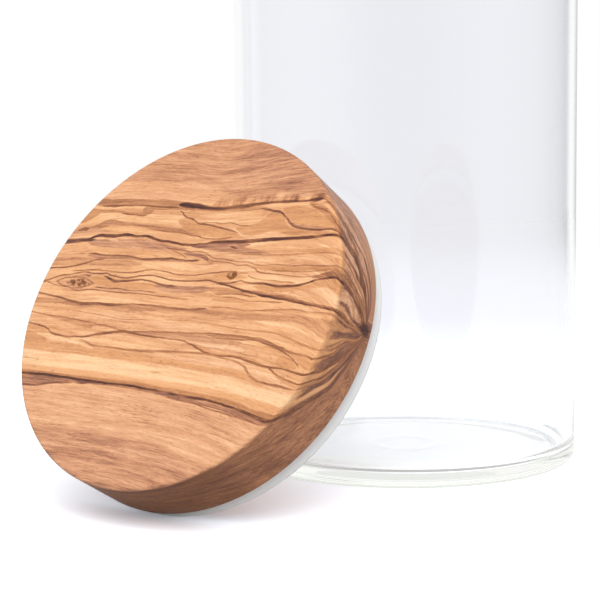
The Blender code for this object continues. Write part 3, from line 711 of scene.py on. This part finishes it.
WOOD_TONES = (
    (0.00, srgb(255, 214, 166)),
    (0.15, srgb(249, 190, 139)),
    (0.31, srgb(230, 165, 113)),
    (0.45, srgb(200, 138, 93)),
    (0.60, srgb(164, 105, 63)),
    (0.80, srgb(112, 65, 34)),
    (1.00, srgb(60, 36, 30)),
)
PINK_TONES = (
    (0.00, srgb(254, 212, 176)),
    (0.15, srgb(243, 188, 151)),
    (0.31, srgb(222, 164, 129)),
    (0.45, srgb(194, 137, 107)),
    (0.60, srgb(158, 108, 88)),
    (0.80, srgb(112, 73, 66)),
    (1.00, srgb(62, 40, 42)),
)


def grain_curve(points, part, low, high):
    """One part of a stroke's points, as the 0 to 1 places that a curve node holds."""
    return [((point[0] + GRAIN_REACH) / (2 * GRAIN_REACH), (point[part] - low) / (high - low))
            for point in points]


def stroke_tree():
    """The maths that every stroke shares, as one node group."""
    tree = bpy.data.node_groups.get("stroke")
    if tree:
        return tree
    tree = bpy.data.node_groups.new("stroke", "ShaderNodeTree")
    for name in ("Along", "Height", "Squeeze", "Swell", "Middle", "Half width", "Fade above",
                 "Fade below", "Ink", "Stroke tone", "Stroke pink", "Tone", "Pink"):
        tree.interface.new_socket(name, in_out="INPUT", socket_type="NodeSocketFloat")
    for name in ("Tone", "Pink", "Along"):
        tree.interface.new_socket(name, in_out="OUTPUT", socket_type="NodeSocketFloat")
    nodes = Nodes(tree)
    entry = nodes.add("NodeGroupInput").socket.node.outputs
    given = {socket.name: Wire(nodes, socket) for socket in entry if socket.name}
    width = given["Half width"] * (WIDEST - THINNEST) + (given["Swell"] + THINNEST)
    away = (given["Height"] - given["Middle"] * (2 * GRAIN_REACH)) * given["Squeeze"]
    upper = (width - away).step(given["Fade above"], 0.0)
    lower = (width + away).step(given["Fade below"], 0.0)
    share = upper * lower * given["Ink"]
    tone = given["Tone"].blend(given["Stroke tone"], share)
    nodes.end("NodeGroupOutput", Tone=tone, Pink=given["Pink"].blend(given["Stroke pink"], share),
              Along=given["Along"] + tone * IN_TURN)
    return tree


class Grain:
    """The wood's figure: a tone and a pinkness that strokes are painted into.

    height is a place's own v, and v is where the line through it crosses the face's edge.
    side is 1 on the side wall and right_end towards the side knot. squeeze is how close the
    lines lie there, and run counts across the fibres.
    """

    def __init__(self, nodes, place):
        self.nodes = nodes
        where = nodes.add("ShaderNodeMapping", {"vector_type": "TEXTURE"}, {
            "Vector": nodes.add("ShaderNodeTexCoord", out="Object"),
            "Location": place.translation, "Rotation": place.to_euler(),
            "Scale": (MM, MM, MM)})
        down = nodes.add("ShaderNodeSeparateXYZ", None, {0: where})
        self.u = down.beside(1)
        self.depth = 0 - down.beside(2)
        self.height = 0 - down
        self.v = self.height
        self.side = self.depth.step(0.3, 3.0)
        wander = self.noise((0.05, 0.12, 0.10), 1.0, 0.4, 81.0) - 0.5
        off = self.height + wander * self.depth.step(0.0, 9.0) * 7.0 - SIDE_KNOT_V
        self.right_end = self.u.step(6.0, 34.0)
        inwards = (self.depth / (abs(off) * FAN + SIDE_KNOT_DEPTH)).math("MINIMUM", 0.95)
        straight = off.step(-6.0, 2.0) * (1 - inwards)
        self.squeeze = 1 - inwards * (1 - straight) * self.right_end
        dip = (1 - self.right_end) * self.depth * LEFT_DIP
        self.v = off / self.squeeze + SIDE_KNOT_V + dip
        self.sway()

    def noise(self, scale, detail=2.0, roughness=0.5, seed=0.0, height=None):
        """Noise on (u, v, depth), each stretched by its own scale per millimetre; 0 to 1."""
        across = height or self.v
        place = self.nodes.add("ShaderNodeCombineXYZ", None, {
            0: self.u * scale[0], 1: across * scale[1], 2: self.depth * scale[2] + seed})
        return self.nodes.add("ShaderNodeTexNoise", {"noise_dimensions": "3D"}, {
            "Vector": place, "Scale": 1.0, "Detail": detail, "Roughness": roughness})

    def sway(self):
        """Makes the lines wander as grown wood does, and finds how the fibres run."""
        slow = self.noise((0.08, 0.2, 0.08), 1.0, 0.5, 11.0) - 0.5
        steps = self.noise((0.4, 0.6, 0.4), 2.0, 0.55, 23.0) - 0.5
        slip = self.noise((0.5, 1.2, 0.5), 1.0, 0.5, 37.0) - 0.5
        self.line_v = self.v + slow * 0.4 + steps * 0.34 + GRAIN_REACH
        self.line_u = (self.u + slip * 0.9 + GRAIN_REACH) / (2 * GRAIN_REACH)
        rises = [self.nodes.add("ShaderNodeFloatCurve", {
            "curve": grain_curve(run, 1, -RUN_REACH, RUN_REACH)}, {"Value": self.line_u})
            for run in (LOWER_RUN, UPPER_RUN)]
        share = (self.v - LOWER_RUN_V) / (UPPER_RUN_V - LOWER_RUN_V)
        rise = (rises[0] + (rises[1] - rises[0]) * share) * (2 * RUN_REACH) - RUN_REACH
        bent = self.side * (1 - self.right_end * (self.v - BENT_V).step(0.0, 4.0))
        self.run = (self.line_v - rise).blend(self.depth * 1.2 - self.height * 0.65, bent * 0.92)

    def along(self, scale, detail=2.0, roughness=0.5, seed=0.0):
        """Noise drawn out along the fibres' own run, around 0."""
        return self.noise(scale, detail, roughness, seed, self.run) - 0.5

    def blend(self, tone, pink, share):
        """Paints a tone and a pinkness where share is 1, and leaves the wood where it is 0."""
        self.tone = self.tone.blend(tone, share)
        self.pink = self.pink.blend(pink, share)

    def stroke(self, ink, look, soft=1.0, thick=1.0, swell=0.0):
        """Paints one stroke of the tables, with its fades and its width made larger or smaller."""
        tone, pink, above, below, *points = look
        middle = self.nodes.add("ShaderNodeFloatCurve", {
            "curve": grain_curve(points, 1, -GRAIN_REACH, GRAIN_REACH)}, {"Value": self.line_u})
        thin = [(u, v, half if half <= 0 else half * thick) for u, v, half in points]
        half = self.nodes.add("ShaderNodeFloatCurve", {
            "curve": grain_curve(thin, 2, THINNEST, WIDEST)}, {"Value": self.line_u})
        painted = self.nodes.add("ShaderNodeGroup", {"node_tree": stroke_tree()}, {
            "Along": self.line_u, "Height": self.line_v, "Squeeze": self.squeeze, "Swell": swell,
            "Middle": middle, "Half width": half, "Fade above": -above * soft,
            "Fade below": -below * soft, "Ink": ink, "Stroke tone": tone, "Stroke pink": pink,
            "Tone": self.tone, "Pink": self.pink})
        self.tone = painted
        self.pink = painted.beside("Pink")
        self.line_u = painted.beside("Along")

    def spot(self, tone, pink, soft, middle, size):
        """Paints one small round mark."""
        far = self.reach(middle, size)
        self.blend(tone, pink, 1 - far.step(1 - soft, 1 + soft))

    def offset(self, middle, size):
        """How far a place is from a middle, along and across, in half sizes."""
        across = (self.u - middle[0]) / size[0]
        up = (self.line_v - GRAIN_REACH - middle[1]) / size[1]
        return across, up

    def reach(self, middle, size):
        """How far a place is from an oval's middle: 1 on its edge."""
        across, up = self.offset(middle, size)
        return (across * across + up * up).math("SQRT")

    def small_knot(self):
        """A pin knot: a brown ring round a pale core with a dark pith."""
        wobble = self.noise((0.9, 1.2, 1.0), 2.0, 0.6, 41.0) - 0.5
        halo = self.reach(SMALL_KNOT, SMALL_HALO_SIZE) + wobble * 1.2
        self.blend(0.38, 0.1, (1 - halo.step(0.5, 1.2)) * 0.7)
        far = self.reach(SMALL_KNOT, SMALL_KNOT_SIZE) + wobble * 0.7
        across, up = self.offset(SMALL_KNOT, SMALL_KNOT_SIZE)
        rim = (1 - abs(far - 0.95) / 0.6).step(0.0, 0.7) * (across * 0.5 - up).step(-1.6, 0.6)
        self.blend(0.76, 0.0, rim * 0.9)
        pith = self.reach(PITH, PITH_SIZE) + wobble * 0.5
        self.blend(0.78, 0.0, (1 - pith.step(0.6, 1.3)) * 0.9)

    def eye_knot(self):
        """A closed eye: lens-shaped rings round a dark heart crossed by slanting pale flecks."""
        across, up = self.offset(EYE_KNOT, EYE_SIZE)
        wobble = self.noise((0.35, 0.9, 0.5), 2.0, 0.5, 43.0) - 0.5
        lens = across * across + abs(up) + wobble * 0.4
        rings = (lens * 11.0).math("SINE").step(0.1, 0.9)
        inside = 1 - lens.step(0.85, 1.15)
        self.blend(0.30, 0.45, inside * 0.8)
        self.blend(0.58, 0.4, rings * inside * 0.85)
        lean = self.u + self.v * 0.9
        place = self.nodes.add("ShaderNodeCombineXYZ", None, {
            0: lean * 0.75, 1: self.v * 0.85, 2: self.depth * 0.5})
        flecks = self.nodes.add("ShaderNodeTexNoise", {"noise_dimensions": "3D"}, {
            "Vector": place, "Scale": 1.0, "Detail": 2.0, "Roughness": 0.6})
        heart = self.reach(EYE_HEART, EYE_HEART_SIZE) + (flecks - 0.5) * 0.7
        self.blend(0.76 - flecks.step(0.46, 0.62) * 0.40, 0.25, (1 - heart.step(0.6, 1.2)) * 0.9)


def paint_figure(grain):
    """Lays the whole figure down, from the broad zones to the finest lines."""
    cloud = grain.along((0.035, 0.16, 0.08), 2.0, 0.6, 3.0)
    grain.tone = cloud * 0.3 + 0.15
    grain.pink = grain.noise((0.02, 0.06, 0.04), 2.0, 0.5, 71.0).step(0.4, 0.8) * 0.6
    for entry in ZONES:
        grain.stroke(STROKE_INK, entry, soft=1.2)
    heartwood_bands(grain)
    for entry in TOP_BANDS + UPPER_BANDS + MIDDLE_BANDS:
        grain.stroke(STROKE_INK, entry, soft=1.1)
    growth_lines(grain)
    paint_side(grain)
    patchy = grain.noise((0.14, 0.7, 0.3), 2.0, 0.6, 17.0).step(0.2, 0.6) * 0.4 + 0.6
    ink = patchy.math("MAXIMUM", grain.side)
    swell = grain.side * 0.14
    for tone, *rest in LINES:
        dark = min(tone * 1.08 + 0.02, DARKEST_LINE)
        grain.stroke(ink, (dark, *rest), soft=1.2, thick=0.8, swell=swell)
    grain.tone = grain.tone - (grain.tone - 0.66).math("MAXIMUM", 0.0) * grain.side * 0.8
    flames = grain.noise((0.34, 0.1, 0.5), 3.0, 0.6, 53.0).step(0.34, 0.72)
    for entry in SMOKE:
        grain.stroke(flames, entry, soft=1.6)
    for entry in HEART_LINE:
        grain.stroke(0.92 - grain.u.step(-2.0, 6.0) * 0.22, entry, soft=1.8, thick=0.7)
    for entry in SPOTS:
        grain.spot(*entry)
    grain.small_knot()
    grain.eye_knot()
    side_knot(grain)


def heartwood_bands(grain):
    """Golden brown bands with an edge on one side, between the two pinkish outer zones."""
    middle = (grain.v + 21.0).step(0.0, 4.0) * (1 - (grain.v - 27.0).step(0.0, 2.0))
    upper = (grain.v + 14.0).step(0.0, 2.0)
    for seed, scale, tone in ((131.0, (0.022, 0.30, 0.1), 0.36), (133.0, (0.035, 0.62, 0.2), 0.30)):
        swell = grain.along(scale, 2.0, 0.5, seed)
        band = swell.step(0.01, 0.05) * (1 - (swell - 0.05).step(0.0, 0.16))
        grain.blend(tone, 0.25, band * middle * (upper * 0.3 + 0.3))


def growth_lines(grain):
    """Faint thin lines that follow the fibres, run together and part again."""
    rise = grain.along((0.016, 0.33, 0.1), 2.0, 0.55, 91.0)
    thin = (1 - abs((rise * 80.0).math("SINE")) / 0.34).step(0.0, 1.0)
    patchy = grain.noise((0.06, 0.12, 0.1), 2.0, 0.5, 95.0).step(0.36, 0.62)
    grain.blend(0.58, 0.5, thin * patchy * 0.55)


def paint_side(grain):
    """The side wall: dark lines and long cells crowd towards the side knot; painted shade darkens it."""
    inner = (grain.v - FIGURE_BOTTOM).step(0.0, 3.0) * (1 - (grain.v - FIGURE_TOP).step(0.0, 1.6))
    deep = grain.depth.step(0.5, 2.5) * grain.right_end * inner
    upper = (grain.v - SIDE_KNOT_V).step(-2.0, 3.0)
    # A darker ground for the cells towards the side knot: partly the wood's own tone, partly painted shade
    # on this wall.
    grain.blend(grain.tone * 0.45 + (0.22 - upper * 0.09), upper * 0.9, deep * 0.9)
    shares = (1 - upper * 0.3, 0.9 - upper * 0.9)
    for seed, share, height in zip((61.0, 67.0), shares, CELL_HEIGHTS):
        wander = grain.noise((0.02, 0.03, 0.05), 0.0, 0.4, seed) - 0.5
        wave = ((grain.v + wander * (14.0 - upper * 6.0)) * (math.pi / height)).math("SINE")
        close = abs(wave) * grain.squeeze * (height / math.pi) + upper * 0.12
        started = (grain.depth + upper * 4.0).step(0.8, 4.5)
        grain.blend(0.78, 0.9, (1 - close.step(0.25, 0.95)) * deep * started * share)
    wall = grain.depth.step(0.2, 1.4) * (1 - inner)
    ends = abs(grain.u).step(14.0, 44.0) * (1 - upper)
    # Painted shade: the wall grows darker down its lower, leaning part, which faces the floor. ends marks
    # the darker end grain at the lower ends.
    under = (0 - grain.height).step(*PAINTED_UNDERSIDE_SHADE)
    grain.blend(0.55 + under * 0.35, 0.5 - under * 0.5, ends.math("MAXIMUM", under) * wall * 0.9)
    grain.blend(0.40, 1.0, upper * wall * 0.6)


def side_knot(grain):
    """The dark knot in the side wall, on which the lines close in."""
    up = (grain.height - SIDE_KNOT_V) / SIDE_KNOT_SIZE[1]
    down = (grain.depth - SIDE_KNOT_DEPTH) / SIDE_KNOT_SIZE[2]
    across = (grain.u - SIDE_KNOT_U) / SIDE_KNOT_SIZE[0]
    wobble = grain.noise((0.4, 0.2, 0.4), 2.0, 0.6, 47.0) - 0.5
    far = (up * up + down * down + across * across).math("SQRT") + wobble * 0.9
    grain.blend(0.93, 0.6, 1 - far.step(0.5, 1.4))


def olive_wood(place):
    """Oiled olive wood: the figure, the fibres and pores over it, and a faint relief."""
    made, nodes = new_material("olive_wood")
    grain = Grain(nodes, place)
    paint_figure(grain)
    bands = grain.along((0.03, 0.42, 0.3), 2.0, 0.55, 4.0)
    streaks = grain.along((0.07, 1.1, 0.6), 2.0, 0.6, 5.0)
    threads = grain.along((0.18, 3.0, 1.6), 2.0, 0.65, 6.0)
    fibres = grain.along((0.6, 8.0, 4.0), 1.0, 0.6, 7.0)
    pores = grain.noise((0.7, 6.0, 6.0), 0.0, 0.5, 9.0, grain.run).step(0.69, 0.78)
    open_grain = grain.pink * 0.95 + 0.55
    tone = (grain.tone + (bands * 0.34 + streaks * 0.44 + threads * 0.44) * open_grain
            + fibres * 0.24 + pores * 0.14)
    golden = nodes.add("ShaderNodeValToRGB", {"stops": WOOD_TONES}, {"Fac": tone})
    pinkish = nodes.add("ShaderNodeValToRGB", {"stops": PINK_TONES}, {"Fac": tone})
    pink = grain.pink + streaks * 0.5
    colour = nodes.mix(pink, golden, pinkish)
    rough = fibres * 0.2 + pores * 0.2 + 0.44
    relief = nodes.add("ShaderNodeBump", None, {
        "Strength": WOOD_RELIEF, "Distance": RELIEF_DEPTH, "Height": fibres + threads * 0.5 - pores})
    wood = nodes.add("ShaderNodeBsdfPrincipled", None, {
        "Base Color": colour, "Roughness": rough, "Normal": relief, "Specular IOR Level": WOOD_SHINE})
    nodes.end("ShaderNodeOutputMaterial", Surface=wood)
    return made


def lid_profile(radius):
    """From the middle of the top face, down the side, the groove and the plug's foot."""
    face = (radius - FACE_EDGE_RADIUS, -FACE_EDGE_RADIUS)
    shoulder = (radius - SHOULDER_EDGE_RADIUS, SHOULDER_EDGE_RADIUS - LID_THICKNESS)
    foot = PLUG_FOOT_RADIUS - PLUG_FOOT_CHAMFER
    return [
        (0, 0),
        *line((6, 0), (face[0], 0), 6),
        *arc(face, FACE_EDGE_RADIUS, 90, 0, 8),
        *line((radius, -FACE_EDGE_RADIUS - 0.3), (radius, shoulder[1] + 0.3), 6),
        *arc(shoulder, SHOULDER_EDGE_RADIUS, 0, -90, 6),
        (radius - 1.5, -LID_THICKNESS),
        (GROOVE_RADIUS + GROOVE_EDGE, -LID_THICKNESS),
        (GROOVE_RADIUS, -LID_THICKNESS - GROOVE_EDGE),
        (GROOVE_RADIUS, GROOVE_EDGE - PLUG_FOOT_TOP),
        (GROOVE_RADIUS + GROOVE_EDGE, -PLUG_FOOT_TOP),
        (PLUG_FOOT_RADIUS - FOOT_EDGE, -PLUG_FOOT_TOP),
        (PLUG_FOOT_RADIUS, -PLUG_FOOT_TOP - FOOT_EDGE),
        (PLUG_FOOT_RADIUS, PLUG_FOOT_CHAMFER - PLUG_BOTTOM),
        (foot, -PLUG_BOTTOM),
        (foot - 0.8, -PLUG_BOTTOM),
        (foot * 0.66, -PLUG_BOTTOM),
        (foot * 0.33, -PLUG_BOTTOM),
        (0, -PLUG_BOTTOM),
    ]


def make_lid(node, place):
    """The wooden lid, as wide as the construction model's."""
    corners = [place.inverted() @ corner.co for corner in node.data.vertices]
    radius = max(corner.xy.length for corner in corners) / MM
    lid = turned("olive_wood_lid", lid_profile(radius), place, ROUND_STEPS, olive_wood(place))
    lid.data.set_sharp_from_angle(angle=math.radians(SHARP_ANGLE))
    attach(lid, "lid")
    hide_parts("wood_lid")


# Silicone seal

SEAL_SHADES = (srgb(244, 243, 243), srgb(249, 248, 248))
SEAL_BEND = 1.41             # index of refraction
SEAL_GLOW = 0.2              # how much light goes in and comes out beside it
SEAL_GLOW_REACH = 3 * MM
DUST_SCALE = 900.0
HAZE_SCALE = 60.0


def seal_profile():
    """A closed outline: a flat band in the groove, and two soft lips outside it."""
    band = SEAL_RADIUS - SEAL_BAND_STEP
    upper = (band + UPPER_LIP_REACH - LIP_RADIUS, -SEAL_TOP - LIP_RADIUS)
    lower = (SEAL_RADIUS - LIP_RADIUS, LIP_RADIUS - SEAL_BOTTOM)
    middle = -(SEAL_TOP + SEAL_BOTTOM) / 2
    return [
        (SEAL_BORE_RADIUS, -SEAL_TOP - SEAL_EDGE),
        (SEAL_BORE_RADIUS + SEAL_EDGE, -SEAL_TOP),
        *arc(upper, LIP_RADIUS, 90, -25, 10),
        (band + 0.04, middle + 0.6),
        (band, middle),
        (band + 0.08, middle - 0.9),
        *arc(lower, LIP_RADIUS, 30, -90, 10),
        (SEAL_BORE_RADIUS + SEAL_EDGE, -SEAL_BOTTOM),
        (SEAL_BORE_RADIUS, SEAL_EDGE - SEAL_BOTTOM),
    ]


def white_silicone():
    """Soft white rubber with a satin, slightly dusty surface."""
    made, nodes = new_material("white_silicone")
    place = nodes.add("ShaderNodeTexCoord", out="Object")
    dust = nodes.add("ShaderNodeTexNoise", None, {"Vector": place, "Scale": DUST_SCALE, "Detail": 2.0})
    haze = nodes.add("ShaderNodeTexNoise", None, {"Vector": place, "Scale": HAZE_SCALE, "Detail": 1.0})
    colour = nodes.mix(haze, *SEAL_SHADES)
    relief = nodes.add("ShaderNodeBump", None, {
        "Strength": 0.08, "Distance": RELIEF_DEPTH, "Height": dust})
    rubber = nodes.add("ShaderNodeBsdfPrincipled", None, {
        "Base Color": colour, "Roughness": dust * 0.12 + 0.30, "Normal": relief,
        "Subsurface Weight": SEAL_GLOW, "Subsurface Scale": SEAL_GLOW_REACH, "IOR": SEAL_BEND})
    nodes.end("ShaderNodeOutputMaterial", Surface=rubber)
    return made


def make_seal(place):
    """The seal, in the lid's groove."""
    seal = turned("white_silicone_seal", seal_profile(), place, ROUND_STEPS, white_silicone(),
                  closed=True)
    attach(seal, "lid")
    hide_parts("seal_ring")


# Stage: floor, world, lamp and camera

# The floor's half size and reaches are in metres. As light for the object it is a plain grey.
FLOOR_HALF = 1.5
FLOOR_PLAIN = (0.50, 0.50, 0.50, 1.0)
FLOOR_FAR = (1.15, 1.15, 1.15, 1.0)          # as the background, far off: just white
FLOOR_NEAR = (1.76, 1.83, 1.96, 1.0)         # round the jar: past white, so only deep shadow is left
NEAR_REACHES = (((0.3, 1.2), 0.25), ((0.08, 0.4), 0.75))     # where nearness fades, and its share
NEAR_THROUGH = 0.94          # how much of that nearness shows through the glass
UNLIT_REACH = (0.2, 1.5)     # where the floor grows as dark in reflections as the studio
THROUGH_REACH = (0.3, 1.3)
THROUGH_LOSS = 0.07          # how much darker the near floor looks through the glass
SKY_LIGHT = 0.45
KEY_STRENGTH = 2.20
KEY_FROM = (0.05, -0.78, 0.60)
KEY_SOFTNESS = 70.0          # degrees

# The unlit sides of the studio, which only reflections show: all but the back and the left,
# and a narrow flank beside the back on the right
BACK = (0.0, 1.0, 0.0)
LIT_SIDE = (-0.995, 0.1, 0.0)
DARK_DEPTH = 0.90
DARK_INSIDE = 0.55           # the same, for what is mirrored inside the glass
DARK_FLANK = 0.45


def seen_rays(nodes):
    """1 for the rays that show the background: from the camera, in gloss and through glass."""
    path = nodes.add("ShaderNodeLightPath", out="Is Camera Ray")
    glossy = path.beside("Is Glossy Ray")
    return path.math("MAXIMUM", glossy).math("MAXIMUM", path.beside("Is Transmission Ray"))


def unlit(nodes, toward):
    """How dark the studio is in a direction, for rays that have been reflected once."""
    back, left = (nodes.add("ShaderNodeVectorMath", {"operation": "DOT_PRODUCT"},
                            {0: toward, 1: side}, out="Value") for side in (BACK, LIT_SIDE))
    lit = back.step(0.70, 0.80).math("MAXIMUM", left.step(0.1, 0.95))
    flank = back.step(0.90, 0.95) * (1 - back.step(0.992, 0.999)) * (0 - left).step(0.0, 0.15)
    path = nodes.add("ShaderNodeLightPath", out="Glossy Depth")
    inside = path.beside("Transmission Depth").math("MINIMUM", 1.0)
    depth = DARK_DEPTH - inside * (DARK_DEPTH - DARK_INSIDE)
    return ((1 - lit) * depth + flank * DARK_FLANK) * path.math("COMPARE", 1.0, 0.5)


def make_floor():
    """A white floor that keeps the object's shadow, and goes dark in reflections as the studio does."""
    shape = bmesh.new()
    bmesh.ops.create_grid(shape, x_segments=1, y_segments=1, size=FLOOR_HALF)
    mesh = bpy.data.meshes.new("floor")
    shape.to_mesh(mesh)
    shape.free()
    floor = show("floor", mesh)
    made, nodes = new_material("white_floor")
    place = nodes.add("ShaderNodeTexCoord", out="Object")
    toward = nodes.add("ShaderNodeVectorMath", {"operation": "NORMALIZE"}, {0: place})
    far = nodes.add("ShaderNodeVectorMath", {"operation": "LENGTH"}, {0: place}, out="Value")
    glossy = nodes.add("ShaderNodeLightPath", out="Is Glossy Ray")
    through = glossy.beside("Is Transmission Ray")
    wide, close = ((1 - far.step(*reach)) * share for reach, share in NEAR_REACHES)
    near = (wide + close) * (1 - glossy * (1 - through * NEAR_THROUGH))
    glow = nodes.mix(near, FLOOR_FAR, FLOOR_NEAR)
    lost = unlit(nodes, toward) * far.step(*UNLIT_REACH)
    lost = lost.math("MAXIMUM", through * (1 - far.step(*THROUGH_REACH)) * THROUGH_LOSS)
    shown = nodes.mix(lost, glow, (0, 0, 0, 1))
    colour = nodes.mix(seen_rays(nodes), FLOOR_PLAIN, shown)
    matt = nodes.add("ShaderNodeBsdfDiffuse", None, {"Color": colour})
    nodes.end("ShaderNodeOutputMaterial", Surface=matt)
    mesh.materials.append(made)


def make_world():
    """White where it is seen, an even grey as light, and with unlit sides in reflections."""
    world = bpy.data.worlds.new("white_studio")
    world.use_nodes = True
    bpy.context.scene.world = world
    nodes = Nodes(world.node_tree)
    toward = nodes.add("ShaderNodeTexCoord", out="Generated")
    shade = 1 - unlit(nodes, toward)
    lit = nodes.add("ShaderNodeBackground", None, {"Color": (1, 1, 1, 1), "Strength": SKY_LIGHT})
    seen = nodes.add("ShaderNodeBackground", None, {"Color": (1, 1, 1, 1), "Strength": shade})
    sky = nodes.add("ShaderNodeMixShader", None, {0: seen_rays(nodes), 1: lit, 2: seen})
    nodes.end("ShaderNodeOutputWorld", Surface=sky)


def make_key():
    """One broad soft light from the front."""
    lamp = bpy.data.lights.new("key_light", "SUN")
    lamp.energy = KEY_STRENGTH
    lamp.angle = math.radians(KEY_SOFTNESS)
    holder = show("key_light", lamp)
    holder.rotation_euler = Vector(KEY_FROM).to_track_quat("Z", "Y").to_euler()
    holder.visible_glossy = False
    holder.visible_transmission = False


def make_camera():
    """The photograph's camera."""
    pitch = math.radians(CAMERA_PITCH)
    yaw = math.radians(CAMERA_YAW)
    roll = math.radians(CAMERA_ROLL)
    ahead = math.cos(pitch)
    forward = Vector((math.sin(yaw) * ahead, math.cos(yaw) * ahead, -math.sin(pitch)))
    right = Vector((math.cos(yaw), -math.sin(yaw), 0))
    up = right.cross(forward)
    rolled_right = right * math.cos(roll) + up * math.sin(roll)
    rolled_up = up * math.cos(roll) - right * math.sin(roll)
    camera = show("camera", bpy.data.cameras.new("camera"))
    camera.data.sensor_width = CAMERA_SENSOR
    camera.data.lens = CAMERA_LENS
    camera.data.clip_start = 10 * MM
    turn = Matrix((rolled_right, rolled_up, -forward)).transposed().to_4x4()
    camera.matrix_world = Matrix.Translation(Vector(CAMERA_PLACE) * MM) @ turn
    bpy.context.scene.camera = camera


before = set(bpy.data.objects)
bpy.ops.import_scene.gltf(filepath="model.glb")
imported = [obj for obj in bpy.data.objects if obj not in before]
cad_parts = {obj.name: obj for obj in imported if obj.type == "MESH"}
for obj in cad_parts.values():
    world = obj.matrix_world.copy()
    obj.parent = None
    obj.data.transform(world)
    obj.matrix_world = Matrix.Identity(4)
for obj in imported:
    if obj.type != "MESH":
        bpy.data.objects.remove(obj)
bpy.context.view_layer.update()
bpy.context.scene.view_settings.view_transform = "Standard"
make_camera()
make_world()
make_floor()
make_key()
lid_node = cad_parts["wood_lid"]
lid_place = face_frame(lid_node)
make_jar()
make_lid(lid_node, lid_place)
make_seal(lid_place)
